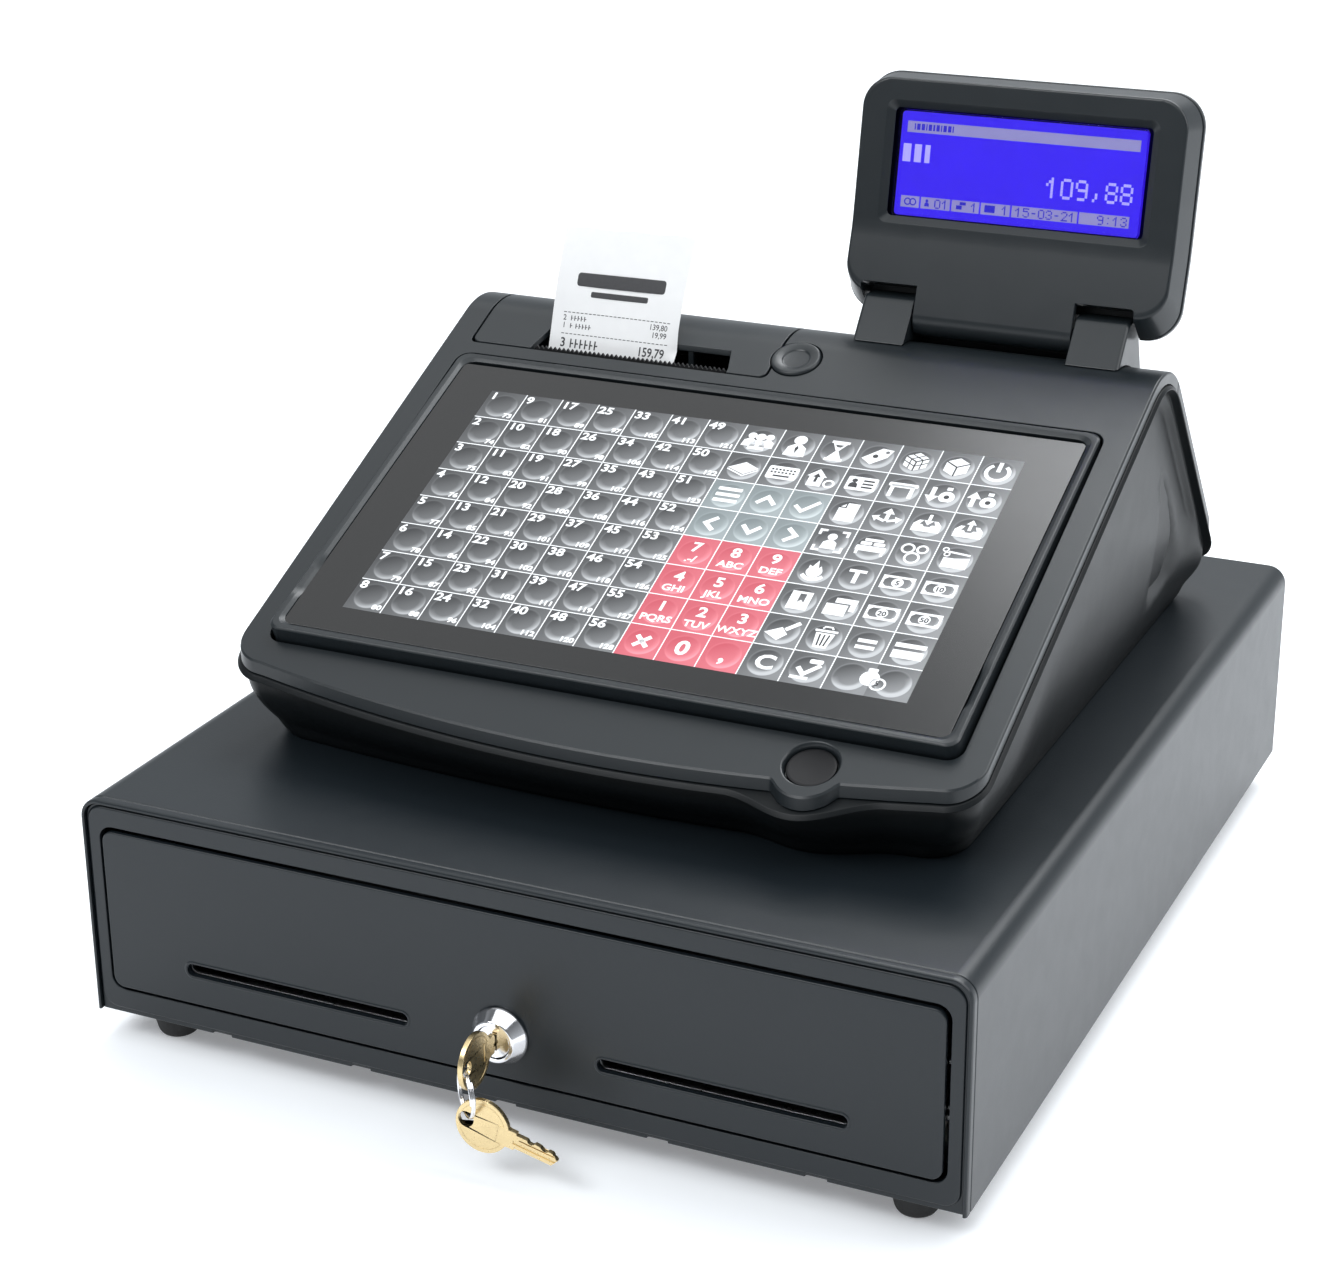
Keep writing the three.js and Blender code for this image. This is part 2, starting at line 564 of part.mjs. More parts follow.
function coverEars() {
  // The rear cover's two tabs that hold the pin, each as [left, right], beside the cover's barrel.
  const [left, right] = COVER.barrel;
  return [[left - GAP - COVER.ear, left - GAP], [right + GAP, right + GAP + COVER.ear]];
}

function rearCover(parent) {
  const rear = roofShell().intersect(box(-200, 200, ROOF.seamY + 0.2, 240, -50, 200));
  const { y, z } = pinPlace();
  const bay = box(COVER.left - 0.6, COVER.right + 0.6, ROOF.seamY - 5, COVER.back + 0.2, 40, 200);
  const rootY = COVER.back + 2.5;
  const web = polygon([[y, z - 3.3], [rootY, roofHeight(rootY) - 4.2], [rootY, roofHeight(rootY) - 0.6],
    [y + 2.5, z + 2.4], [y - 1.5, z + 3]]);
  const ears = coverEars().map(([x0, x1]) => (
    join(rod('x', COVER.knuckle, x0, x1, y, z), prism('x', web, x0, x1))));
  const [[left], [, right]] = coverEars();
  const bore = rod('x', COVER.pin + 0.25, left - 1, right + 1, y, z, 16);
  piece('rear_cover', geometryOf(cut(join(cut(rear, bay), ...ears), bore)), 'housing', parent);
  piece('cover_pin', geometryOf(rod('x', COVER.pin, left, right, y, z, 16)), 'steel', parent);
}

function printerCover(parent) {
  const { y, z } = pinPlace();
  const skin = prism('x', roofBand(0, HOUSING.wall), ...wide)
    .intersect(prism('z', coverOutline(0), 60, 200))
    .intersect(box(-200, 200, -200, COVER.back - 0.2, -50, 200));
  const notch = prism('z', polygon([[NOTCH.left, COVER.front - 5], [NOTCH.right, COVER.front - 5],
    [NOTCH.right, COVER.front + 2], [NOTCH.right - NOTCH.slant, NOTCH.back],
    [NOTCH.left + NOTCH.slant, NOTCH.back], [NOTCH.left, COVER.front + 2]]), 60, 200);
  const buttonHole = slopeSolid(rod('z', BUTTON.radius + 0.4, -20, 20, BUTTON.x, BUTTON.s, 28));
  const [x0, x1] = COVER.barrel;
  const webTop = (at) => [at, roofHeight(at) - 1];
  const web = prism('x', polygon([webTop(y + 4), webTop(y - 7), [y - 3.2, z], [y + 3.2, z]]), x0, x1);
  const barrel = join(rod('x', COVER.knuckle, x0, x1, y, z), web);
  const slots = coverEars().map(([left, right]) => box(left - GAP, right + GAP, y - 4.5, y + 10, 60, 200));
  const bore = rod('x', COVER.pin + 0.25, x0 - 1, x1 + 1, y, z, 16);
  const [arm, armRoot] = [PLATEN.y - 4, PLATEN.y + 16];
  const carrier = polygon([[arm, roofHeight(arm) - 1], [armRoot, roofHeight(armRoot) - 1],
    [PLATEN.y + 5, PLATEN.z - 4], [arm, PLATEN.z - 4]]);
  const carriers = [-113.4, -44.6].map((x) => prism('x', carrier, x, x + 2.4));
  const shaftHoles = rod('x', 2.3, -125, -30, PLATEN.y, PLATEN.z, 16);
  const body = cut(join(cut(skin, notch, buttonHole, ...slots), barrel, ...carriers), bore, shaftHoles);
  piece('printer_cover', geometryOf(body), 'housing', parent);
}

function releaseButton(slope) {
  const { radius, proud } = BUTTON;
  const cap = lathe('z', [[0, -3], [radius, -3], [radius, 0.6], [radius - 0.9, proud], [7.6, proud],
    [5, proud - 0.8], [0, proud - 1]]);
  const stem = rod('z', 3, -10, -2, 0, 0, 16);
  piece('cover_release_button', geometryOf(join(cap, stem)), 'housing', slope)
    .position.set(BUTTON.x, BUTTON.s, 0);
}

function touchPanel(slope) {
  const { halfWidth, front, back, corner, rim } = PANEL;
  const lip = rim + 5;
  const seat = GLASS.thickness + GAP;
  const frame = cut(
    prism('z', roundedRect(-halfWidth, halfWidth, front, back, corner), -9, 1),
    prism('z', roundedRect(-GLASS.halfWidth - GAP, GLASS.halfWidth + GAP, GLASS.front - GAP,
      GLASS.back + GAP, 2), -seat, 2),
    prism('z', roundedRect(-halfWidth + lip, halfWidth - lip, front + lip, back - lip, 3), -20, 2),
  );
  piece('panel_bezel', geometryOf(frame), 'housing', slope);

  const pane = prism('z', roundedRect(-GLASS.halfWidth, GLASS.halfWidth, GLASS.front, GLASS.back, 2),
    -GLASS.thickness, 0);
  piece('touch_glass', geometryOf(pane), 'glass', slope);

  const sheetTop = -seat - 0.1;
  const edge = rim + 6;
  const sheet = box(-halfWidth + edge, halfWidth - edge, front + edge, back - edge,
    sheetTop - 0.6, sheetTop);
  piece('key_sheet', geometryOf(sheet), 'paper', slope);
  piece('main_board', geometryOf(box(-118, 118, 14, 148, -15.6, -14)), 'board', slope);
}

function readerDisc(slope) {
  const top = DISC.n - DISC.sunk;
  const pad = rod('z', DISC.radius, top - DISC.depth + GAP, top, DISC.x, DISC.s, 28);
  piece('reader_disc', geometryOf(pad), 'black', slope);
}

function rearSockets(parent) {
  const { left, right, bottom, top, front, back } = SOCKETS;
  const block = box(left + GAP, right - GAP, front, back, bottom + GAP, top - GAP);
  const ports = SOCKETS.ports.map((x) => (
    box(x, x + SOCKETS.portWidth, SOCKETS.portFront, back + 6, SOCKETS.portBottom, SOCKETS.portTop)));
  piece('rear_sockets', geometryOf(cut(block, ...ports)), 'black', parent);
}

// ---------------------------------------------------------------- printer

function gearShape(teeth, toothAtTop) {
  // Straight-sided spur gear teeth; angles run from straight up, with a tooth or a gap there.
  const pitchRadius = (GEAR.module * teeth) / 2;
  const [root, tip] = [pitchRadius - 1.25 * GEAR.module, pitchRadius + 0.85 * GEAR.module];
  const step = (2 * Math.PI) / teeth;
  const points = [];
  for (let i = 0; i < teeth; i += 1) {
    const middle = step * (i + (toothAtTop ? 0 : 0.5));
    for (const [radius, offset] of [[root, -0.26], [tip, -0.1], [tip, 0.1], [root, 0.26]]) {
      const angle = middle + step * offset;
      points.push([-radius * Math.sin(angle), radius * Math.cos(angle)]);
    }
  }
  return polygon(points);
}

const meshDistance = (a, b) => (GEAR.module * (a + b)) / 2 + GEAR.slack;

function gearTrain(parent) {
  const [x0, x1] = [GEAR.x, GEAR.x + GEAR.width];
  const idlerZ = PLATEN.z - meshDistance(GEAR.platen, GEAR.idler);
  const pinionZ = idlerZ - meshDistance(GEAR.idler, GEAR.pinion);

  const platenShaft = rod('x', 2, x0 + 0.5, PAPER.x + PAPER.width / 2 + 7, 0, 0, 16);
  const rubber = rod('x', PLATEN.radius, PAPER.x - PAPER.width / 2, PAPER.x + PAPER.width / 2, 0, 0, 24);
  const platenGear = prism('x', gearShape(GEAR.platen, true), x0, x1 - 1);
  const platen = piece('platen_roller', geometryOf(join(platenShaft, rubber, platenGear)), 'rubber', parent);
  platen.position.set(0, PLATEN.y, PLATEN.z);

  const idlerBody = join(prism('x', gearShape(GEAR.idler, false), x0, x1),
    rod('x', 1.5, x1 - 1, x1 + 2.2, 0, 0, 12));
  piece('idler_gear', geometryOf(idlerBody), 'nylon', parent).position.set(0, PLATEN.y, idlerZ);

  const pinionBody = join(prism('x', gearShape(GEAR.pinion, true), x0, x1),
    rod('x', 1, x0 - 8, x0 + 1, 0, 0, 12));
  piece('motor_pinion', geometryOf(pinionBody), 'nylon', parent).position.set(0, PLATEN.y, pinionZ);

  const can = cut(rod('x', 9, -137, x0 - 1, 0, 0, 24), rod('x', 1.4, x0 - 9.5, x0, 0, 0, 12));
  piece('paper_motor', geometryOf(can), 'steel', parent).position.set(0, PLATEN.y, pinionZ);
}

function printerFrame(parent) {
  const [x0, x1] = [PAPER.x - PAPER.width / 2 - 2.6, PAPER.x + PAPER.width / 2 + 2.6];
  const { rollY: y, rollZ: z } = PAPER;
  const bucket = cut(
    rod('x', PAPER.roll + 5, x0, x1, y, z, 28),
    rod('x', PAPER.roll + 2.6, x0 + 1.6, x1 - 1.6, y, z, 28),
    box(x0 - 1, x1 + 1, y - 60, y + 60, z - 2, z + 60),
  );
  const legs = [x0 + 1, x1 - 7].map((x) => box(x, x + 6, y - 5, y + 5, 2.8, z - PAPER.roll - 3));
  const head = box(x0, x1, 36, 46, z - 4, 106);
  const bridge = box(x0, x1, 36, y - PAPER.roll - 3.2, z - 9, z - 2);
  const sidePlate = box(x0, x0 + 1.6, 36, 66, z - 4, 94);
  const idlerZ = PLATEN.z - meshDistance(GEAR.platen, GEAR.idler);
  const axleHole = rod('x', 1.9, x0 - 1, x0 + 3, PLATEN.y, idlerZ, 12);
  const frame = cut(join(bucket, ...legs, head, bridge, sidePlate), axleHole);
  piece('printer_frame', geometryOf(frame), 'steel', parent);

  const core = lathe('y', ringProfile([[6, -PAPER.width / 2], [PAPER.roll, -PAPER.width / 2],
    [PAPER.roll, PAPER.width / 2], [6, PAPER.width / 2]]));
  const roll = piece('paper_roll', geometryOf(core), 'paper', parent);
  roll.position.set(PAPER.x, y, z);
  roll.rotation.z = Math.PI / 2;
}

function tearBar(parent) {
  const [x0, x1] = [NOTCH.left + 1, NOTCH.right - 1];
  const teeth = 29;
  const pitch = (x1 - x0) / teeth;
  const points = [[x0, 106.3], [x1, 106.3], [x1, 112.4]];
  for (let i = teeth; i > 0; i -= 1) {
    points.push([x0 + pitch * (i - 0.5), 114], [x0 + pitch * (i - 1), 112.4]);
  }
  piece('tear_bar', geometryOf(prism('y', polygon(points), 40.4, 41.4)), 'black', parent);
}

class PaperPath extends THREE.Curve {
  // Up from between print head and platen through the notch, then leaning back in a slight S.
  getPoint(t, target = new THREE.Vector3()) {
    const z = THREE.MathUtils.lerp(PLATEN.z, 159, t);
    const lean = Math.max(0, z - 111);
    return target.set(0, 46.6 + 0.46 * lean - 1.2 * Math.sin((Math.PI * lean) / 48), z);
  }
}

function receipt(parent) {
  const path = new PaperPath();
  const line = path.getPoints(14);
  const front = line.map((point) => [point.y, point.z]);
  const back = front.map(([y, z]) => [y + PAPER.thickness, z]).reverse();
  const half = PAPER.width / 2;
  const strip = prism('x', polygon([...front, ...back]), PAPER.x - half, PAPER.x + half);
  piece('receipt', geometryOf(strip), 'paper', parent);
}

// ---------------------------------------------------------------- customer display

function displayStand(parent) {
  const { x, y, z, inner, outer } = HINGE;
  const side = polygon([[y - 9, 100], [y - 9, z + 5], [y - 6.5, z + 8.4], [y - 2, z + 10], [y + 4, z + 9],
    [y + 11, z + 1], [y + 22, 100]]);
  const block = prism('x', side, x - outer, x + outer);
  const gap = join(rod('x', HINGE.barrel + 1.2, x - inner, x + inner, y, z, 28),
    box(x - inner, x + inner, y - 30, y + 40, z - 3, z + 60));
  const pinHole = rod('x', HINGE.pin + 0.2, x - inner - 14, x + inner + 14, y, z, 20);
  const body = cut(block, gap, pinHole, prism('x', underRoof(-GAP), ...wide));
  piece('display_stand', geometryOf(body), 'housing', parent);
  const pin = rod('x', HINGE.pin, x - inner - 12, x + inner + 12, y, z, 20);
  piece('display_pin', geometryOf(pin), 'steel', parent);
}

function facePoint(u, n) {
  // The (y, z) place of a point u up the face and n out of it. Above the kink the face leans forward.
  const past = Math.max(0, u - DISPLAY.kinkAt);
  const bend = past > 0 ? radians(DISPLAY.kink) : 0;
  return [-n * Math.cos(bend) - past * Math.sin(bend),
    Math.min(u, DISPLAY.kinkAt) + past * Math.cos(bend) - n * Math.sin(bend)];
}

function displaySide(fromN, toN, u0, u1) {
  // The outline, seen from the side, of a layer of the display between two depths.
  const edge = (n) => [u0, DISPLAY.kinkAt, u1].map((u) => facePoint(u, n));
  return polygon([...edge(fromN), ...edge(toN).reverse()]);
}

function displayOutline(inset, drop = 0) {
  // The outline, seen from the front. With a drop, its lower corners hang down beside the stand's ears.
  const { x, halfWidth, bottom, top, corner } = DISPLAY;
  const [from, to] = [-80, 60];
  const outline = prism('y', roundedRect(x - halfWidth + inset, x + halfWidth - inset, bottom - drop + inset,
    top - inset, corner - inset / 2), from, to, 5);
  const clear = HINGE.outer + 1.5;
  return drop ? cut(outline, box(-clear, clear, from - 1, to + 1, -20, bottom + inset)) : outline;
}

function displayPieces(group) {
  const { x, bottom, lobe, top, depth, rearDepth, wall, faceInset } = DISPLAY;
  const face = HINGE.barrel;
  const back = face - depth;
  const split = back + rearDepth;
  const slab = (fromN, toN) => prism('x', displaySide(fromN, toN, bottom - lobe - 1, top + 4), ...wide);

  const window = slab(-30, 30).intersect(box(x - LCD.frameX, x + LCD.frameX, -60, 60,
    LCD.bottom - LCD.frameU, LCD.top + LCD.frameU));
  const tongue = join(rod('x', HINGE.barrel, -HINGE.inner + 0.6, HINGE.inner - 0.6, 0, 0, 28),
    box(-HINGE.inner + 0.6, HINGE.inner - 0.6, -HINGE.barrel, -HINGE.barrel + 4, 0, bottom + 6));
  const frontSkin = cut(slab(split + GAP, face).intersect(displayOutline(faceInset, lobe)),
    slab(split - 5, face - wall).intersect(displayOutline(faceInset + wall)));
  const bore = rod('x', HINGE.pin + 0.25, -HINGE.inner - 1, HINGE.inner + 1, 0, 0, 20);
  const frontBody = cut(join(frontSkin, tongue), window, bore);
  piece('display_front', geometryOf(frontBody), 'housing', group);

  const rearSkin = cut(slab(back, split).intersect(displayOutline(0, lobe)),
    slab(back + wall, split + 5).intersect(displayOutline(wall)));
  piece('display_rear', geometryOf(rearSkin), 'housing', group);

  const [lcdBack, lcdFront] = [face - 9, face - wall - 2.2];
  const lcdBox = (grow) => box(x - LCD.halfWidth - grow, x + LCD.halfWidth + grow, -60, 60,
    LCD.bottom - grow, LCD.top + grow);
  piece('lcd_panel', geometryOf(slab(lcdBack, lcdFront).intersect(lcdBox(1))), 'lcd', group);
  const windowSlab = slab(lcdFront + GAP, face - wall + 0.6);
  piece('lcd_window', geometryOf(windowSlab.intersect(lcdBox(3))), 'glass', group);
}

// ---------------------------------------------------------------- assembly

const register = new THREE.Group();

const drawerCase = new THREE.Group();
drawerCase.position.z = FOOT.height;
register.add(drawerCase);

const footNames = { '-1': { '-1': 'foot_front_left', 1: 'foot_rear_left' },
  1: { '-1': 'foot_front_right', 1: 'foot_rear_right' } };
for (const sideX of sides) {
  for (const sideY of sides) {
    rubberFoot(footNames[sideX][sideY], sideX * FOOT.x, sideY * FOOT.y, drawerCase);
  }
}
caseCover(drawerCase);
caseChassis(drawerCase);
drawerRail('rail_left', -1, drawerCase);
drawerRail('rail_right', 1, drawerCase);
latchHardware(drawerCase);
ejectorSpring(drawerCase);

drawerFascia(drawerCase);
drawerTray(drawerCase);
tillInsert(drawerCase);
coinTray(drawerCase);
billClips(drawerCase);
for (const [side, name] of [[-1, 'left'], [1, 'right']]) {
  roller(`roller_rear_${name}`, side * 167.8, ROLLER.rearY, ROLLER.rearZ, side * 164.3, drawerCase);
  roller(`roller_front_${name}`, side * 167, ROLLER.frontY, ROLLER.frontZ, side * 171.7, drawerCase);
}
drawerLock(drawerCase);
keys(drawerCase);

const housing = new THREE.Group();
housing.position.z = CASE.height + GAP;
drawerCase.add(housing);
baseShell(housing);
topShell(housing);
rearCover(housing);
printerCover(housing);
rearSockets(housing);
gearTrain(housing);
printerFrame(housing);
tearBar(housing);
receipt(housing);
displayStand(housing);

const slope = new THREE.Group();
slope.position.set(0, SLOPE.y, SLOPE.z);
slope.rotation.x = radians(SLOPE.degrees);
housing.add(slope);
touchPanel(slope);
readerDisc(slope);
releaseButton(slope);

const display = new THREE.Group();
display.position.set(HINGE.x, HINGE.y, HINGE.z);
display.rotation.x = radians(-DISPLAY.lean);
housing.add(display);
displayPieces(display);

// Stand the whole object centrally on the origin; the keys reach out in front of the case.
register.updateMatrixWorld(true);
const extent = new THREE.Box3().setFromObject(register, true);
drawerCase.position.y = -(extent.min.y + extent.max.y) / 2;

export default register;
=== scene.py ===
import json
import math

import bmesh
import bpy
import numpy as np
from mathutils import Matrix, Vector
from mathutils.geometry import tessellate_polygon


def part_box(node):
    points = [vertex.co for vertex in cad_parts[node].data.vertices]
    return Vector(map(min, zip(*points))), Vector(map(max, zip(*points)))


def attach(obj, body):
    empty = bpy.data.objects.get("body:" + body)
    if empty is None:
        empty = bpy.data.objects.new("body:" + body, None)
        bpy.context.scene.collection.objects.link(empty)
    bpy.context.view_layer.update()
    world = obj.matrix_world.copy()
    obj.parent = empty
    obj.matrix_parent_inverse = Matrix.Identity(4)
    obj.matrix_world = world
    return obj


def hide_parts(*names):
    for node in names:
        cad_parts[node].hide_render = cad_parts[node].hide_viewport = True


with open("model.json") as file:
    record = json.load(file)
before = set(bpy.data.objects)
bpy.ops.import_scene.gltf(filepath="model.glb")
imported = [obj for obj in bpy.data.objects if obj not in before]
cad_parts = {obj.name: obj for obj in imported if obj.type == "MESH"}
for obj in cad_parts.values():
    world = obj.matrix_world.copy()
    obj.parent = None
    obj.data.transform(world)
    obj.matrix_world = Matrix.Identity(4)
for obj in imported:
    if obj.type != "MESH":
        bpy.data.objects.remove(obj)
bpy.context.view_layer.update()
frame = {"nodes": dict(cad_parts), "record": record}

MM = 0.001
record = frame["record"]
SLOT_OF = {part["node"]: part["material_slot"] for part in record["subparts"]}
BODY_OF = {node: body for body, nodes in record["behaviour"]["bodies"].items() for node in nodes}


# ---------------------------------------------------------------- frames of reference (mm inside)

case_low, case_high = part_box("case_cover")
CASE_HEIGHT = 89.0
DRAWER = Matrix.Translation((0, (case_low.y + case_high.y) / 2, case_low.z)) @ Matrix.Scale(MM, 4)
HOUSING = DRAWER @ Matrix.Translation((0, 0, CASE_HEIGHT + 0.3))
SLOPE_DEGREES, SLOPE_Y, SLOPE_Z = 22.18, -126.0, 45.8
SLOPE = (HOUSING @ Matrix.Translation((0, SLOPE_Y, SLOPE_Z))
         @ Matrix.Rotation(math.radians(SLOPE_DEGREES), 4, "X"))
HINGE_X, HINGE_Y, HINGE_Z = 77.5, 84.0, 132.3
DISPLAY = (HOUSING @ Matrix.Translation((HINGE_X, HINGE_Y, HINGE_Z))
           @ Matrix.Rotation(math.radians(-20), 4, "X"))


# ---------------------------------------------------------------- camera, floor and light

def make_camera():
    right = Vector((0.9069, 0.4213, -0.0082))
    down = Vector((0.1518, -0.3447, -0.9263))
    ahead = Vector((-0.3931, 0.8388, -0.3766))
    place = Matrix((right, -down, -ahead)).transposed().to_4x4()
    place.translation = DRAWER @ Vector((436.3, -996.3, 545.2))
    data = bpy.data.cameras.new("camera")
    data.lens = 78.04
    data.sensor_width = 36
    data.clip_start = 0.05
    camera = bpy.data.objects.new("camera", data)
    camera.matrix_world = place
    bpy.context.scene.collection.objects.link(camera)
    bpy.context.scene.camera = camera


def area_light(name, location, aim, size, power, color=(1, 1, 1)):
    data = bpy.data.lights.new(name, "AREA")
    data.shape = "RECTANGLE"
    data.size, data.size_y = size
    data.energy = power
    data.color = color
    light = bpy.data.objects.new(name, data)
    light.location = location
    light.rotation_euler = (Vector(aim) - Vector(location)).to_track_quat("-Z", "Y").to_euler()
    bpy.context.scene.collection.objects.link(light)


def sun_light(name, aim, strength, spread_degrees, color=(1, 1, 1)):
    data = bpy.data.lights.new(name, "SUN")
    data.energy = strength
    data.angle = math.radians(spread_degrees)
    data.color = color
    light = bpy.data.objects.new(name, data)
    light.rotation_euler = Vector(aim).to_track_quat("-Z", "Y").to_euler()
    bpy.context.scene.collection.objects.link(light)


WORLD_LOW, WORLD_HIGH, WORLD_FRONT = 0.8, 0.25, 0.4
WORLD_HEIGHTS, WORLD_DEPTHS = (0.1, 0.75), (-0.6, 0.6)


def make_world():
    """A pale backdrop, bright behind the object near the horizon and dim overhead and in front."""
    world = bpy.data.worlds.new("studio")
    bpy.context.scene.world = world
    world.use_nodes = True
    tree = world.node_tree
    place = tree.nodes.new("ShaderNodeTexCoord").outputs["Generated"]
    parts = tree.nodes.new("ShaderNodeSeparateXYZ")
    tree.links.new(place, parts.inputs[0])
    product = tree.nodes.new("ShaderNodeMath")
    product.operation = "MULTIPLY"
    ramps = (("Z", (*WORLD_HEIGHTS, WORLD_LOW, WORLD_HIGH)), ("Y", (*WORLD_DEPTHS, WORLD_FRONT, 1.0)))
    for index, (axis, values) in enumerate(ramps):
        ramp = tree.nodes.new("ShaderNodeMapRange")
        for socket, value in zip(ramp.inputs[1:5], values):
            socket.default_value = value
        tree.links.new(parts.outputs[axis], ramp.inputs[0])
        tree.links.new(ramp.outputs[0], product.inputs[index])
    background = tree.nodes["Background"]
    background.inputs["Color"].default_value = (0.9, 0.95, 1, 1)
    tree.links.new(product.outputs[0], background.inputs["Strength"])


FLOOR_HALF = 6.0


def make_stage():
    """A pale floor and soft light from behind, the left front and the right (metres and watts)."""
    bm = bmesh.new()
    bmesh.ops.create_grid(bm, x_segments=1, y_segments=1, size=FLOOR_HALF)
    mesh = bpy.data.meshes.new("floor")
    bm.to_mesh(mesh)
    bm.free()
    floor = bpy.data.objects.new("floor", mesh)
    bpy.context.scene.collection.objects.link(floor)
    mesh.materials.append(surface("floor", (0.82, 0.84, 0.86), 0.55, mottle=0.01, mottle_mm=400,
                                  Emission_Color=(0.96, 0.97, 1, 1), Emission_Strength=0.24))
    make_world()
    sun_light("overhead", (-0.1, 0.1, -1), 1.6, 70, (0.95, 0.98, 1))
    area_light("ceiling", (0.15, 1.35, 1.9), (0.05, 0.1, 0.1), (1.5, 1.3), 46, (0.96, 0.98, 1))
    area_light("ceiling_left", (-1.3, 0.9, 1.9), (0, 0.1, 0.1), (1.2, 1.2), 4)
    area_light("right", (0.8, 0.1, 0.7), (0.34, 0.05, 0), (0.5, 0.7), 4, (0.97, 0.98, 1))
    area_light("front", (-0.75, -1.45, 1.7), (0, 0, 0.15), (1.6, 0.6), 28, (0.96, 0.98, 1))
    bpy.context.scene.view_settings.view_transform = "Standard"


# ---------------------------------------------------------------- materials

class Nodes:
    """A short hand for building one material's node tree."""

    def __init__(self, name):
        self.material = bpy.data.materials.new(name)
        self.material.use_nodes = True
        self.tree = self.material.node_tree
        self.shader = self.tree.nodes["Principled BSDF"]
        self.place = self.tree.nodes.new("ShaderNodeTexCoord").outputs["Object"]

    def node(self, kind, settings=None, **sockets):
        made = self.tree.nodes.new("ShaderNode" + kind)
        for key, value in (settings or {}).items():
            setattr(made, key, value)
        for key, value in sockets.items():
            self.feed(made.inputs[key.replace("_", " ")], value)
        return made

    def feed(self, socket, value):
        if isinstance(value, bpy.types.NodeSocket):
            self.tree.links.new(value, socket)
        else:
            socket.default_value = value

    def math(self, operation, *values, clamp=False):
        made = self.node("Math", {"operation": operation, "use_clamp": clamp})
        for socket, value in zip(made.inputs, values):
            self.feed(socket, value)
        return made.outputs[0]

    def noise(self, size_mm, detail=3.0):
        """Noise whose blotches are about size_mm across."""
        made = self.node("TexNoise", Scale=1 / (size_mm * MM), Detail=detail, Vector=self.place)
        return made.outputs["Fac"]

    def between(self, fac, low, high, start=0.3, end=0.7):
        """Goes from low to high while fac goes from start to end."""
        made = self.node("MapRange")
        for socket, value in zip(made.inputs[:5], (fac, start, end, low, high)):
            self.feed(socket, value)
        return made.outputs[0]

    def blend(self, fac, first, second):
        made = self.node("Mix", {"data_type": "RGBA"})
        self.feed(made.inputs["Factor"], fac)
        self.feed(made.inputs[6], first)
        self.feed(made.inputs[7], second)
        return made.outputs[2]

    def bump(self, height, height_mm):
        made = self.node("Bump", Height=height, Distance=height_mm * MM, Strength=1.0)
        self.feed(self.shader.inputs["Normal"], made.outputs[0])

    def set(self, **sockets):
        for key, value in sockets.items():
            self.feed(self.shader.inputs[key.replace("_", " ")], value)


def rgba(color, factor=1.0):
    return (*[min(1.0, c * factor) for c in color[:3]], 1)


def surface(name, color, roughness, metallic=0.0, grain=None, mottle=0.06, mottle_mm=35,
            rough_spread=0.05, **extra):
    """A finish with blotchy colour, uneven gloss and an optional fine (size, height) grain in mm."""
    n = Nodes(name)
    soft = n.noise(mottle_mm, 4)
    fine = n.noise(mottle_mm / 9, 3)
    tint = n.between(soft, 0, 1, 0.25, 0.75)
    n.set(Base_Color=n.blend(tint, rgba(color, 1 - mottle), rgba(color, 1 + mottle)))
    n.set(Roughness=n.between(fine, roughness - rough_spread, roughness + rough_spread))
    n.set(Metallic=metallic)
    if grain:
        size, height = grain
        n.bump(n.noise(size, 2), height)
    n.set(**extra)
    return n.material


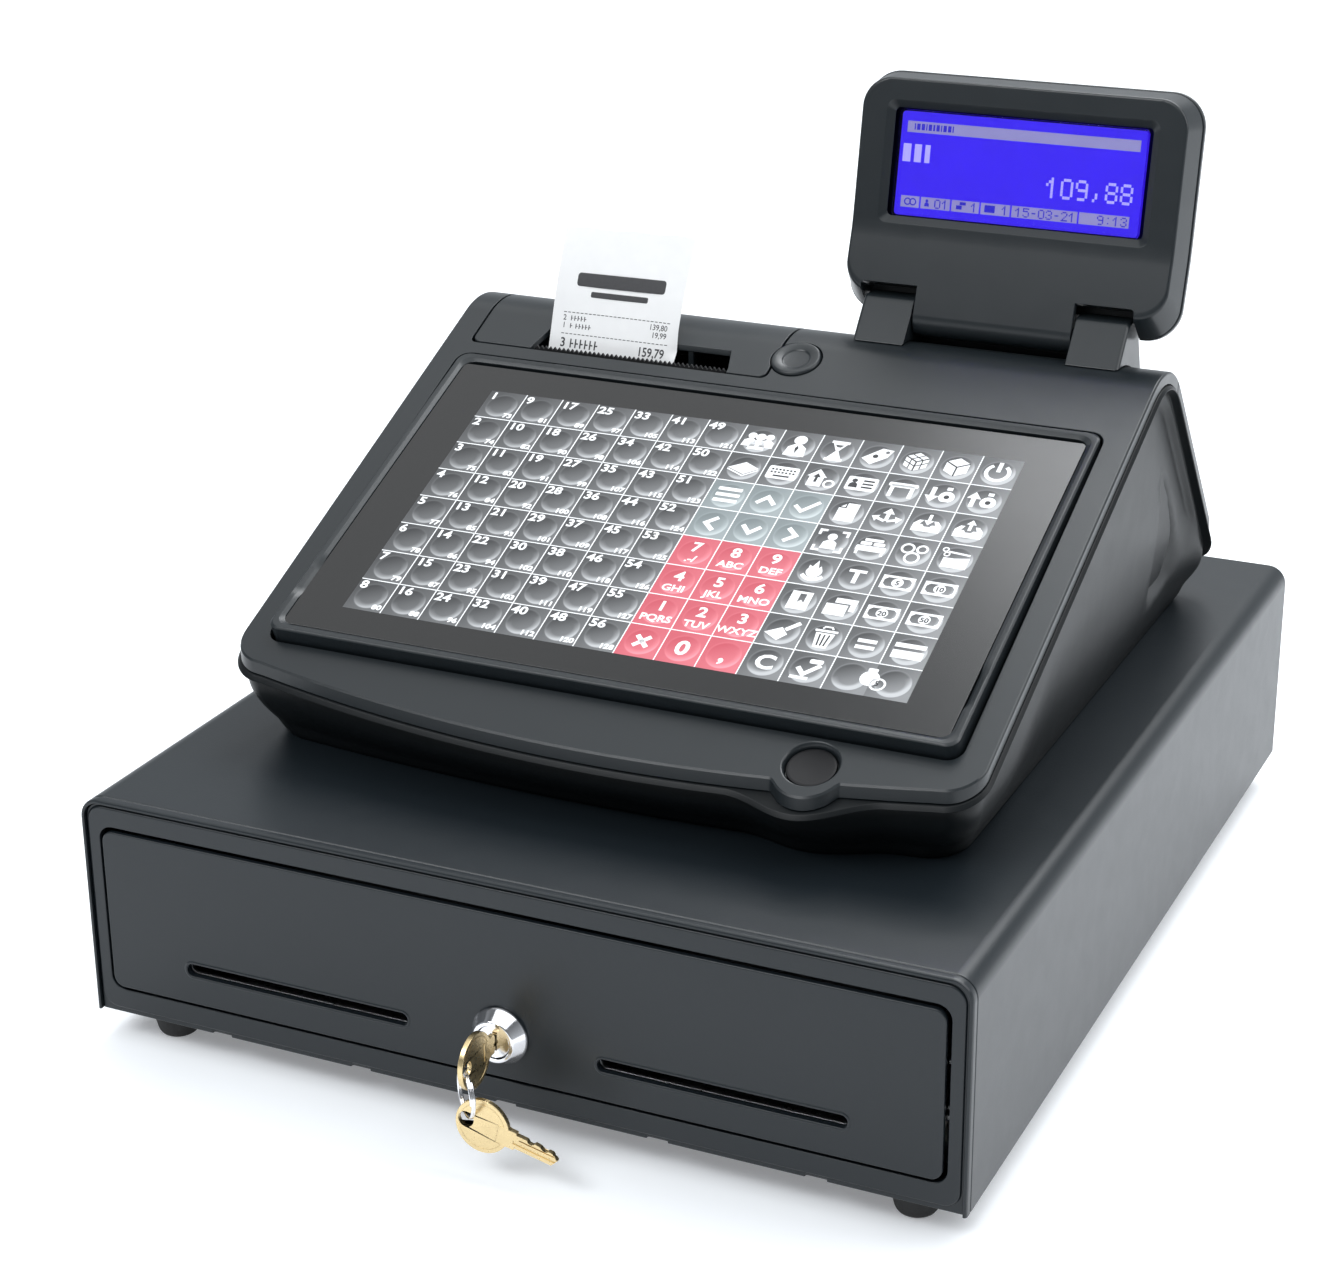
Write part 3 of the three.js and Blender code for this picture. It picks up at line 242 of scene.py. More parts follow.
def make_materials():
    """Every finish by name: the CAD's slots, the visual model's own, the inks and the glowing panel."""
    made = {
        "coat": surface("powder_coat", (0.008, 0.0115, 0.0145), 0.35, grain=(0.55, 0.035), mottle=0.05,
                        mottle_mm=90, rough_spread=0.012, Specular_IOR_Level=0.38),
        "housing": surface("grained_plastic", (0.011, 0.0145, 0.017), 0.32, grain=(0.35, 0.014),
                           mottle=0.04, mottle_mm=90, rough_spread=0.015, Specular_IOR_Level=0.42),
        # Painted shade: the base is the housing's grained plastic made darker, standing in for the shadow
        # under the lid.
        "base": surface("grained_base_painted_shade", (0.0035, 0.005, 0.006), 0.4, grain=(0.35, 0.014), mottle=0.04,
                        mottle_mm=90, rough_spread=0.012, Specular_IOR_Level=0.2),
        "black_plastic": surface("black_plastic", (0.011, 0.011, 0.012), 0.5, grain=(0.4, 0.015)),
        "pad": surface("reader_pad", (0.005, 0.005, 0.006), 0.5, grain=(0.5, 0.02), mottle=0.04,
                       rough_spread=0.01, Specular_IOR_Level=0.25),
        "panel_glass": surface("panel_glass", (0.008, 0.0085, 0.009), 0.22, grain=(0.25, 0.002),
                               mottle=0.03, mottle_mm=120, rough_spread=0.006),
        "clear_window": surface("clear_window", (0.9, 0.92, 0.95), 0.06, mottle=0.01, rough_spread=0.02,
                                Transmission_Weight=1.0, IOR=1.2),
        "printed_sheet": surface("printed_sheet", (0.02, 0.02, 0.022), 0.5, mottle=0.05),
        "rubber": surface("rubber", (0.014, 0.014, 0.014), 0.75, grain=(0.6, 0.03), mottle=0.2,
                          mottle_mm=6),
        "chrome": surface("chrome", (0.82, 0.82, 0.84), 0.12, 1.0, mottle=0.03, mottle_mm=8,
                          rough_spread=0.04),
        "brass": surface("brass", (0.74, 0.58, 0.32), 0.3, 1.0, grain=(0.5, 0.004), mottle=0.06,
                         mottle_mm=9, rough_spread=0.05),
        "steel": surface("zinc_steel", (0.55, 0.56, 0.57), 0.34, 1.0, grain=(0.5, 0.006), mottle=0.1,
                         mottle_mm=14, rough_spread=0.08),
        "nylon": surface("nylon", (0.72, 0.7, 0.63), 0.5, grain=(0.5, 0.01), mottle=0.04,
                         Subsurface_Weight=0.05),
        "paper": surface("paper", (0.78, 0.78, 0.78), 0.8, grain=(0.3, 0.006), mottle=0.015,
                         mottle_mm=5),
        "card": surface("card_tube", (0.42, 0.3, 0.18), 0.8, grain=(0.4, 0.02), mottle=0.08, mottle_mm=4),
        "board": surface("circuit_board", (0.01, 0.09, 0.035), 0.35, mottle=0.15, mottle_mm=9),
        "spring": surface("spring_steel", (0.45, 0.44, 0.42), 0.3, 1.0, mottle=0.12, mottle_mm=5),
    }
    made["key_grey"] = key_finish("key_grey", (0.018, 0.019, 0.021), (0.42, 0.43, 0.44), 0.75)
    made["key_light"] = key_finish("key_light", (0.13, 0.155, 0.16), (0.5, 0.55, 0.56), 0.4)
    made["key_red"] = key_finish("key_red", (0.42, 0.06, 0.085), (0.74, 0.26, 0.3), 0.45)
    made["ink_white"] = surface("ink_white", (0.8, 0.81, 0.82), 0.35, mottle=0.02, Specular_IOR_Level=0.3)
    made["ink_grey"] = surface("ink_grey", (0.025, 0.025, 0.028), 0.35, mottle=0.04,
                               Specular_IOR_Level=0.3)
    made["ink_black"] = surface("ink_black", (0.03, 0.03, 0.033), 0.6, mottle=0.1, mottle_mm=1.5)
    glowing = {"lcd": ((0.022, 0.003, 0.55), 0.9), "lcd_grey": ((0.19, 0.175, 0.36), 0.85),
               "lcd_dark": ((0.012, 0.006, 0.4), 0.7), "lcd_white": ((0.3, 0.27, 0.66), 0.9)}
    for name, (color, glow) in glowing.items():
        made[name] = surface(name, color, 0.35, mottle=0.08, mottle_mm=12,
                             Emission_Color=(*color, 1), Emission_Strength=glow)
    return made


# ---------------------------------------------------------------- solids: loft, prism, lathe, tube

SCRATCH = bpy.data.collections.new("scratch")
bpy.context.scene.collection.children.link(SCRATCH)


def scratch(vertices, faces):
    """A working object that is thrown away unless show() keeps it."""
    mesh = bpy.data.meshes.new("scratch")
    mesh.from_pydata([tuple(v) for v in vertices], [], faces)
    obj = bpy.data.objects.new("scratch", mesh)
    SCRATCH.objects.link(obj)
    return obj


def loft(rings, closed=False):
    """A solid through rings of equal point counts; the ends are capped unless it closes on itself."""
    count, levels = len(rings[0]), len(rings)
    vertices = np.concatenate([np.asarray(ring, float) for ring in rings])
    faces = []
    for level in range(levels if closed else levels - 1):
        a, b = level * count, ((level + 1) % levels) * count
        for i in range(count):
            j = (i + 1) % count
            faces.append((a + i, a + j, b + j, b + i))
    if not closed:
        faces.append(tuple(reversed(range(count))))
        faces.append(tuple(range((levels - 1) * count, levels * count)))
    obj = scratch(vertices, faces)
    face_out(obj)
    return obj


def face_out(obj):
    """Turns every face outwards."""
    bm = bmesh.new()
    bm.from_mesh(obj.data)
    bmesh.ops.recalc_face_normals(bm, faces=bm.faces)
    bm.to_mesh(obj.data)
    bm.free()


def flat_to_space(axis, a, b, along):
    """Coordinates (x, y, z) of a flat point (a, b) at a place along an axis."""
    return {"x": (along, a, b), "y": (a, along, b), "z": (a, b, along)}[axis]


def prism(axis, points, start, end):
    """A flat outline pushed out along an axis."""
    return loft([[flat_to_space(axis, a, b, along) for a, b in points] for along in (start, end)])


def soft_prism(axis, outline, start, end, radius, steps=4):
    """A prism with both ends rounded; outline(inset) gives its points."""
    rings = []
    for i in range(steps + 1):
        angle = math.pi / 2 * i / steps
        rings.append((radius * (1 - math.sin(angle)), start + radius * (1 - math.cos(angle))))
    rings += [(inset, end - (along - start)) for inset, along in reversed(rings)]
    return loft([[flat_to_space(axis, a, b, along) for a, b in outline(inset)] for inset, along in rings])


def box(x0, x1, y0, y1, z0, z1):
    return prism("z", [(x0, y0), (x1, y0), (x1, y1), (x0, y1)], z0, z1)


def arc(a, b, radius, start, end, steps):
    angles = np.radians(np.linspace(start, end, steps + 1))
    return [(a + radius * math.cos(t), b + radius * math.sin(t)) for t in angles]


def rod(axis, radius, start, end, a=0.0, b=0.0, segments=48):
    return prism(axis, arc(a, b, radius, 0, 360, segments)[:-1], start, end)


def rounded_rect(a0, a1, b0, b1, radius, steps=8):
    return [*arc(a1 - radius, b0 + radius, radius, -90, 0, steps),
            *arc(a1 - radius, b1 - radius, radius, 0, 90, steps),
            *arc(a0 + radius, b1 - radius, radius, 90, 180, steps),
            *arc(a0 + radius, b0 + radius, radius, 180, 270, steps)]


def rect_outline(a0, a1, b0, b1, radius, steps=8):
    """The same as a function of inset, for soft_prism."""
    def outline(inset):
        return rounded_rect(a0 + inset, a1 - inset, b0 + inset, b1 - inset, max(0.05, radius - inset), steps)
    return outline


def lathe(axis, profile, segments=64, ring=False, a=0.0, b=0.0):
    """Turns (radius, along) points about an axis; a ring's profile closes on itself."""
    angles = np.linspace(0, 2 * math.pi, segments, endpoint=False)
    rings = [[flat_to_space(axis, a + r * math.cos(t), b + r * math.sin(t), along) for t in angles]
             for r, along in profile]
    return loft(rings, closed=ring)


def tube(points, radius, sides=10):
    """A round wire along points."""
    path = np.asarray(points, float)
    ahead = np.roll(path, -1, axis=0) - np.roll(path, 1, axis=0)
    ahead[0], ahead[-1] = path[1] - path[0], path[-1] - path[-2]
    ahead /= np.linalg.norm(ahead, axis=1)[:, None]
    across = np.cross(ahead[0], (0.3, 0.5, 0.81))
    rings = []
    for point, direction in zip(path, ahead):
        across = across - direction * np.dot(across, direction)
        across /= np.linalg.norm(across)
        third = np.cross(direction, across)
        rings.append([point + radius * (math.cos(t) * across + math.sin(t) * third)
                      for t in np.linspace(0, 2 * math.pi, sides, endpoint=False)])
    return loft(rings)


# ---------------------------------------------------------------- joining, cutting and finishing

def apply_modifiers(obj):
    graph = bpy.context.evaluated_depsgraph_get()
    mesh = bpy.data.meshes.new_from_object(obj.evaluated_get(graph))
    obj.modifiers.clear()
    old, obj.data = obj.data, mesh
    bpy.data.meshes.remove(old)
    return obj


def combine(operation, first, others):
    for other in others:
        modifier = first.modifiers.new("combine", "BOOLEAN")
        modifier.operation = operation
        modifier.solver = "MANIFOLD"
        modifier.object = other
        apply_modifiers(first)
        bpy.data.objects.remove(other)
    return first


def cut(first, *others):
    return combine("DIFFERENCE", first, others)


def join(first, *others):
    return combine("UNION", first, others)


def meet(first, *others):
    return combine("INTERSECT", first, others)


def copy_of(obj):
    twin = obj.copy()
    twin.data = obj.data.copy()
    SCRATCH.objects.link(twin)
    return twin


def clean(obj, distance=0.01, angle=0.4):
    """Merges doubled points and joins triangles that lie in one plane."""
    bm = bmesh.new()
    bm.from_mesh(obj.data)
    bmesh.ops.remove_doubles(bm, verts=bm.verts, dist=distance)
    bmesh.ops.dissolve_limit(bm, angle_limit=math.radians(angle), verts=bm.verts, edges=bm.edges)
    bm.to_mesh(obj.data)
    bm.free()
    return obj


def soften(obj, width, segments=3, angle=32):
    """Rounds every edge sharper than angle."""
    clean(obj)
    modifier = obj.modifiers.new("soften", "BEVEL")
    modifier.width = width
    modifier.segments = segments
    modifier.limit_method = "ANGLE"
    modifier.angle_limit = math.radians(angle)
    modifier.use_clamp_overlap = False
    modifier.miter_outer = "MITER_ARC"
    return apply_modifiers(obj)


def show(name, obj, place, finish, node=None, body=None, sharp=34):
    """Turns a scratch solid into a piece of the object, standing for a CAD node if one is named.

    place takes the solid's own millimetres to the world; edges over sharp degrees stay crisp."""
    mesh = obj.data
    mesh.transform(place)
    mesh.polygons.foreach_set("use_smooth", [True] * len(mesh.polygons))
    mesh.set_sharp_from_angle(angle=math.radians(sharp))
    mesh.materials.clear()
    mesh.materials.append(MATERIALS[finish])
    weighted = obj.modifiers.new("normals", "WEIGHTED_NORMAL")
    weighted.keep_sharp = True
    apply_modifiers(obj)
    obj.name = name
    obj.data.name = name
    SCRATCH.objects.unlink(obj)
    bpy.context.scene.collection.objects.link(obj)
    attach(obj, body or BODY_OF[node])
    if node:
        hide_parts(node)


# ---------------------------------------------------------------- register housing

# The housing seen from above, at its foot on the case and at its rim.
FOOT = {"half": 140.0, "front": -138.0, "rear": 157.6, "bow": 8.0, "bow_x": 0.0, "corner": 17.0}
RIM = {"half": 151.4, "front": -153.2, "rear": 166.5, "bow": 11.8, "bow_x": 6.0, "corner": 14.0}
REAR_CORNER, SIDE_STEPS = 10.0, 70
WALL, SKIRT, RIM_HEIGHT = 2.5, 4.9, 25.0
# The reader disc: across, front to back in the housing, and s and n in the touch panel's plane.
DISC_X, DISC_Y, DISC_S, DISC_N, DISC_RADIUS = 90.1, -142.3, -18.6, -5.1, 9.2
BULGE_RADIUS, PAD_SUNK = 13.5, 1.4
SWELL, SWELL_HALF_WIDTH = 3.9, 30.0
BUTTON_X, BUTTON_S, BUTTON_RADIUS = 4.0, 191.0, 10.4
COVER_LEFT, COVER_RIGHT, COVER_FRONT, COVER_BACK = -139.0, -5.0, 38.8, 104.0
BARREL = (-126.0, -18.0)
BARREL_RADIUS, PIN_BORE = 3.4, 1.75
SEAM_Y, SEAM_GAP = 92.0, 0.2
# The roof in side view: two slopes through a point each, joined by an arc of radius APEX.
FRONT, REAR, APEX = math.radians(23.7), math.radians(50.9), 34.0
FRONT_POINT, REAR_POINT = (30.5, 109.6), (100.0, 107.4)
WIDE = (-200, 200)


def roof_front(y, drop=0.0):
    return FRONT_POINT[1] + (y - FRONT_POINT[0]) * math.tan(FRONT) - drop / math.cos(FRONT)


def roof_rear(y, drop=0.0):
    return REAR_POINT[1] - (y - REAR_POINT[0]) * math.tan(REAR) - drop / math.cos(REAR)


APEX_Y = (roof_rear(0, APEX) - roof_front(0, APEX)) / (math.tan(FRONT) + math.tan(REAR))
APEX_Z = roof_front(APEX_Y, APEX)


def roof_height(y, drop=0.0):
    """The roof's height at y, or that of a surface drop millimetres under it."""
    radius = APEX - drop
    if y < APEX_Y - radius * math.sin(FRONT):
        return roof_front(y, drop)
    if y > APEX_Y + radius * math.sin(REAR):
        return roof_rear(y, drop)
    return APEX_Z + math.sqrt(radius ** 2 - (y - APEX_Y) ** 2)


def roof_line(drop):
    radius = APEX - drop
    ridge = [(APEX_Y + radius * math.sin(t), APEX_Z + radius * math.cos(t))
             for t in np.linspace(-FRONT, REAR, 37)]
    return [(-200, roof_front(-200, drop)), *ridge, (200, roof_rear(200, drop))]


PIN_Y = 99.0
PIN_Z = roof_height(PIN_Y) - 6.5


def roof_band(outer, inner):
    """The layer between two drops under the roof."""
    return prism("x", roof_line(outer) + roof_line(inner)[::-1], *WIDE)


def under_roof(drop):
    return prism("x", [(-200, -60), *roof_line(drop), (200, -160)], *WIDE)


def lid_swell(x, front, inset):
    """The lid's front edge bulges closely round the reader disc, with a fillet at each side."""
    away, radius, blend = abs(x - DISC_X), BULGE_RADIUS - inset, 2.5
    rim = DISC_Y - math.sqrt(radius ** 2 - away ** 2) if away < radius else DISC_Y + away - radius
    share = min(1, max(0, 0.5 + (rim - front) / (2 * blend)))
    return rim + (front - rim) * share - blend * share * (1 - share)


def base_swell(x, y):
    """The base bulges softly under the disc."""
    away = abs(x - DISC_X)
    if away >= SWELL_HALF_WIDTH or y >= -60:
        return 0
    return SWELL * (1 + math.cos(math.pi * away / SWELL_HALF_WIDTH))


def plan_outline(size, inset=0.0, tight=False, side_steps=1):
    """The housing from above at its FOOT or RIM; tight follows the lid closely round the reader disc."""
    half, corner, rear_corner = size["half"] - inset, size["corner"] - inset, REAR_CORNER - inset
    front, rear = size["front"] + inset, size["rear"] - inset
    bow, bow_x = size["bow"], size["bow_x"]
    bow_half = half - corner
    xs = bow_half * np.linspace(-1, 1, 150)
    if tight:
        xs = np.unique(np.append(xs, DISC_X + (BULGE_RADIUS + 3 - inset) * np.linspace(-1, 1, 91)))
    left, right = (bow * ((side * bow_half - bow_x) / bow_half) ** 2 for side in (-1, 1))
    points = arc(-half + corner, front + left + corner, corner, 180, 260, 14)
    for x in xs[1:-1]:
        y = front + bow * ((x - bow_x) / bow_half) ** 2
        points.append((x, lid_swell(x, y, inset) if tight else y))
    points += arc(half - corner, front + right + corner, corner, 280, 360, 14)
    side = np.linspace(0, 1, side_steps + 1)[1:-1]
    back = rear - rear_corner
    points += [(half, back + (front + right + corner - back) * (1 - t)) for t in side]
    points += arc(half - rear_corner, rear - rear_corner, rear_corner, 0, 90, 10)
    points += [(x, rear) for x in np.linspace(half - rear_corner, -half + rear_corner, 12)[1:-1]]
    points += arc(-half + rear_corner, rear - rear_corner, rear_corner, 90, 180, 10)
    points += [(-half, back + (front + left + corner - back) * t) for t in side]
    return points


def smooth(t):
    t = min(1.0, max(0.0, t))
    return t * t * (3 - 2 * t)


def side_relief(y, z):
    """How far the side wall is drawn in: under a soft arch, and more in an upright grip near the back."""
    below = (roof_height(y, SKIRT) - z) * math.cos(FRONT if y < APEX_Y else REAR)
    panel = smooth((below - 3) / 3.5) * smooth((z - 14) / 30) * smooth((y + 60) / 90) * smooth((150 - y) / 16)
    grip = smooth((y - 92) / 3.5) * smooth((132 - y) / 20) * smooth((below - 18) / 8) * smooth((z - 16) / 8)
    return 2.4 * panel + 4.2 * grip


def base_point(x, y, z, inset):
    """A point of the base's wall with the swell under the disc and, outside, the side's relief."""
    y -= base_swell(x, y)
    if abs(x) > 130 and inset < WALL:
        x -= math.copysign(side_relief(y, z), x)
    return (x, y, z)


def base_ring(share, inset):
    """One level of the base: share 0 is its foot on the case, 1 its top edge under the lid."""
    ring = []
    foot = plan_outline(FOOT, inset, side_steps=SIDE_STEPS)
    rim = plan_outline(RIM, inset, side_steps=SIDE_STEPS)
    for (x0, y0), (x1, y1) in zip(foot, rim):
        rim_height = min(RIM_HEIGHT + 32 * smooth((y1 + 105) / 70), roof_height(y1, SKIRT + 5))
        y = y1
        for _ in range(6):
            z = roof_height(y, SKIRT + 2.9) * share
            t = math.sin(math.pi / 2 * min(1, max(0, z) / rim_height))
            y = y0 + (y1 - y0) * t
        ring.append(base_point(x0 + (x1 - x0) * t, y, z, inset))
    return ring


LIP = [(7.4, 1.6), (7.15, -0.7), (6.9, -1.3), (6.6, -1.45), (5.5, -0.5), (5.3, -0.1), (5.2, 5.3)]


def lip_ring(drop, inset):
    """One level of the lip round the base's top edge: a drop below the roof and an inset from the lid."""
    ring = []
    for x, y in plan_outline(RIM, inset, side_steps=SIDE_STEPS):
        z = roof_height(y - base_swell(x, y), drop)
        ring.append(base_point(x, y, z, inset))
    return ring


def base_shell():
    shares = [math.sin(math.pi / 2 * s) ** 1.4 for s in np.linspace(0, 1, 34)]
    outer = [base_ring(share, 2.2 * smooth(share * 4)) for share in shares]
    outer += [lip_ring(drop, inset) for drop, inset in LIP]
    inner = [base_ring(share, WALL + 2.8) for share in (0.7, 0.3, 0.08)]
    inner = [[(x, y, max(z, WALL)) for x, y, z in ring] for ring in inner]
    socket_window = box(18, 112, 140, 180, 5, 21)
    shell = cut(loft(outer + inner), socket_window)
    # The base wears the darker copy of the housing plastic: painted shade for the shadow under the lid.
    show("register_base", shell, HOUSING, "base", "base_shell", sharp=40)


def slope_solid(solid):
    """Moves a solid drawn in the touch panel's plane (x, s, n) into the housing."""
    solid.data.transform(HOUSING.inverted() @ SLOPE)
    return solid


def roof_shell():
    """The skin that the lid, rear cover and printer cover are parts of."""
    plan = prism("z", plan_outline(RIM, 0, True), -10, 200)
    roof = soften(meet(plan, under_roof(0)), 0.6, 1)
    roof = meet(roof, roof_band(-12, SKIRT))
    inner = meet(prism("z", plan_outline(RIM, WALL, True), -10, 200), roof_band(WALL, SKIRT + 3))
    return cut(roof, inner)


def cover_bay(gap):
    outline = rounded_rect(COVER_LEFT - gap, COVER_RIGHT + gap, COVER_FRONT - gap, 240, 3)
    return prism("z", outline, 40, 200)


def button_hole():
    return slope_solid(rod("z", BUTTON_RADIUS + 0.4, -20, 20, BUTTON_X, BUTTON_S, 64))


def lid(shell):
    front = meet(shell, box(*WIDE, -200, SEAM_Y - SEAM_GAP, -50, 200))
    window = slope_solid(prism("z", rounded_rect(-140.7, 140.7, -5.9, 170.2, 6.2), -20, 20))
    seat = DISC_N - PAD_SUNK - 2.2
    cup = slope_solid(rod("z", DISC_RADIUS + 2.2, seat - 1.2, DISC_N - 1, DISC_X, DISC_S, 72))
    bowl_side = [(0.5, seat), (0.5, seat + 2), (0.9, DISC_N - 0.5), (2.6, DISC_N + 1.3), (2.6, 20)]
    bowl = slope_solid(lathe("z", [(DISC_RADIUS + gap, n) for gap, n in bowl_side], 72, a=DISC_X, b=DISC_S))
    body = cut(join(front, cup), window, cover_bay(0.9), button_hole(), bowl)
    show("lid", soften(body, 0.35, angle=40), HOUSING, "housing", "top_shell", sharp=29)


def cover_ears():
    """The rear cover's ears, across: one just outside each end of the printer cover's barrel."""
    left, right = BARREL
    return [(left - 5.3, left - 0.3), (right + 0.3, right + 5.3)]


def rear_cover(shell):
    body = meet(shell, box(*WIDE, SEAM_Y + SEAM_GAP, 240, -50, 200))
    body = cut(body, box(COVER_LEFT - 0.6, COVER_RIGHT + 0.6, SEAM_Y - 5, COVER_BACK + 0.2, 40, 200))
    root = COVER_BACK + 2.5
    web = [(PIN_Y, PIN_Z - 3.3), (root, roof_height(root) - 4.2), (root, roof_height(root) - 0.6),
           (PIN_Y + 2.5, PIN_Z + 2.4), (PIN_Y - 1.5, PIN_Z + 3)]
    for x0, x1 in cover_ears():
        body = join(body, rod("x", BARREL_RADIUS, x0, x1, PIN_Y, PIN_Z), prism("x", web, x0, x1))
    for x in np.linspace(-112, 112, 15):
        body = cut(body, vent(x))
    bore = rod("x", PIN_BORE, BARREL[0] - 6, BARREL[1] + 6, PIN_Y, PIN_Z)
    show("rear_cover_panel", soften(cut(body, bore), 0.35), HOUSING, "housing", "rear_cover")


def vent(x):
    """A slanting cooling slot low in the rear slope."""
    slot = rounded_rect(x - 2, x + 2, 138, 156, 1.9, 5)
    middle = roof_rear(147)
    return prism("z", slot, middle - 24, middle + 24)


def printer_cover():
    """The cover with its paper notch, its hinge barrel and the two arms that carry the platen roller."""
    skin = meet(roof_band(0, WALL), cover_bay(0), box(*WIDE, -200, COVER_BACK - SEAM_GAP, -50, 200))
    left, right, back, slant = -111, -22, 51, 3
    notch = prism("z", [(left, COVER_FRONT - 5), (right, COVER_FRONT - 5), (right, COVER_FRONT + 2),
                        (right - slant, back), (left + slant, back), (left, COVER_FRONT + 2)], 60, 200)
    skin = cut(skin, notch, button_hole())
    for x0, x1 in cover_ears():
        skin = cut(skin, box(x0 - 0.3, x1 + 0.3, PIN_Y - 4.5, PIN_Y + 10, 60, 200))
    web = [(PIN_Y + 3.2, PIN_Z), (PIN_Y - 3.2, PIN_Z), (PIN_Y - 7, roof_height(PIN_Y - 7) - 1),
           (PIN_Y + 4, roof_height(PIN_Y + 4) - 1)]
    body = join(skin, rod("x", BARREL_RADIUS, *BARREL, PIN_Y, PIN_Z), prism("x", web, *BARREL))
    platen_y, platen_z = 52.2, HEAD_Z
    arm, root = back + 0.4, platen_y + 16
    carrier = [(arm, roof_height(arm) - 1), (arm, platen_z - 4), (platen_y + 5, platen_z - 4),
               (root, roof_height(root) - 1)]
    for x in (-113.4, -44.6):
        body = join(body, prism("x", carrier, x, x + 2.4))
    body = cut(body, rod("x", PIN_BORE, BARREL[0] - 1, BARREL[1] + 1, PIN_Y, PIN_Z),
               rod("x", 2.3, -125, -30, platen_y, platen_z))
    show("printer_lid", soften(body, 0.35), HOUSING, "housing", "printer_cover")


def release_button():
    r = BUTTON_RADIUS
    profile = [(0.01, -3), (r, -3), (r, 0.2), (r - 0.15, 0.8), (r - 0.5, 1.25), (r - 1.1, 1.5),
               (r - 2.4, 1.45), (6.6, 1.1), (5.9, 0.95), (5.5, 0.55), (5.1, 0.42), (3, 0.34), (0.01, 0.3)]
    cap = lathe("z", profile, 72, a=BUTTON_X, b=BUTTON_S)
    stem = rod("z", 3, -10, -2, BUTTON_X, BUTTON_S)
    show("release_button", soften(join(cap, stem), 0.12, 2), SLOPE, "housing", "cover_release_button",
         sharp=50)


def reader_disc():
    top, r = DISC_N - PAD_SUNK, DISC_RADIUS
    profile = [(0.01, top - 2.1), (r, top - 2.1), (r, top - 0.3), (r - 0.3, top), (r - 1.2, top - 0.02),
               (4, top - 0.2), (0.01, top - 0.25)]
    pad = lathe("z", profile, 72, a=DISC_X, b=DISC_S)
    show("reader_pad", pad, SLOPE, "pad", "reader_disc", sharp=50)


def densify(points, spacing):
    """Adds points along the long edges of a closed outline."""
    made = []
    for (a0, b0), (a1, b1) in zip(points, points[1:] + points[:1]):
        parts = max(1, round(math.dist((a0, b0), (a1, b1)) / spacing))
        made += [(a0 + (a1 - a0) * k / parts, b0 + (b1 - b0) * k / parts) for k in range(parts)]
    return made


def finger_scoop(x, s):
    """1 inside the shallow scoop near the lower end of each side of the bezel, 0 elsewhere."""
    return smooth((s - 14) / 5) * smooth((38 - s) / 5) if abs(x) > 125 else 0


def panel_bezel():
    """The frame round the touch glass; its profile is (inset from the outer edge, height over the glass)."""
    profile = [(0, -9), (0, 0.4), (0.62, 1.02), (1.0, 1.05), (2.5, 0.9), (2.75, 0.8), (4.0, 0.1),
               (4.2, -0.02), (4.3, -0.25), (4.3, -3.3), (9.2, -3.3), (9.2, -9)]
    half, centre = np.array((139.5, 86.75)), np.array((0.0, 82.25))
    base = densify(rounded_rect(-139.5, 139.5, -4.5, 169, 5), 2.0)
    rings = []
    for inset, n in profile:
        scale = (half - inset) / half
        ring = []
        for point in base:
            x, s = centre + (np.array(point) - centre) * scale
            lowered = n - 1.1 * finger_scoop(x, s) if 1.5 < inset < 4.4 and n > -1 else n
            ring.append((x, s, lowered))
        rings.append(ring)
    show("bezel", loft(rings, closed=True), SLOPE, "housing", "panel_bezel", sharp=42)


def touch_glass():
    pane = soft_prism("z", rect_outline(-135, 135, 0, 163, 2), -3, 0, 0.35)
    show("glass", pane, SLOPE, "panel_glass", "touch_glass")


SOCKET_X = (26, 48, 70, 92)


def rear_sockets():
    """A block of four sockets, each with a tongue and four contacts."""
    block = box(18.3, 111.7, 146, 164, 5.3, 20.7)
    for x in SOCKET_X:
        block = cut(block, box(x, x + 13, 152, 170, 8, 18))
        block = join(block, box(x + 3, x + 10, 151.5, 160, 11.5, 12.8))
    show("rear_ports", soften(block, 0.4), HOUSING, "black_plastic", "rear_sockets")
    for x in SOCKET_X:
        for k in range(4):
            left = x + 3.6 + 1.6 * k
            contact = soft_prism("y", rect_outline(left, left + 0.8, 12.8, 13.1, 0.1, 2), 153, 159, 0.1, 2)
            show(f"contact_{x}_{k}", contact, HOUSING, "brass", body="case")


# ---------------------------------------------------------------- printer

PAPER_X, PAPER_HALF, PAPER_LONG, HEAD_Z = -78.0, 29.0, 55.3, 103.5


def tear_bar():
    x0, x1, teeth = -110, -23, 43
    low, root, tip = 106.3, 112.6, 114
    pitch = (x1 - x0) / teeth
    points = [(x0, low), (x1, low), (x1, root)]
    for i in range(teeth, 0, -1):
        points += [(x0 + pitch * (i - 0.5), tip), (x0 + pitch * (i - 1), root)]
    blade = prism("y", points, 40.4, 41.4)
    show("tear_blade", soften(blade, 0.12, 2), HOUSING, "black_plastic", "tear_bar")


def paper_point(u, v):
    """A point on the receipt: u from -1 to 1 across, v from 0 at the print head to 1 at the torn end."""
    z = HEAD_Z + PAPER_LONG * v
    lean = max(0.0, z - 111)
    y = 46.6 + 0.46 * lean - 1.2 * math.sin(math.pi * lean / 48)
    x = PAPER_X + PAPER_HALF * u
    twist = 1.6 * smooth((lean - 6) / 40)
    y += twist * u - 0.9 * (u * u - 0.3) * smooth(lean / 25)
    z += 0.25 * math.sin(9 * u + 1) * smooth(v * 3 - 2)
    if u > 0.72:
        curl = (u - 0.72) / 0.28
        y += 2.2 * curl ** 2 * smooth((z - 112) / 4) * smooth((126 - z) / 16)
    return np.array((x, y, z))


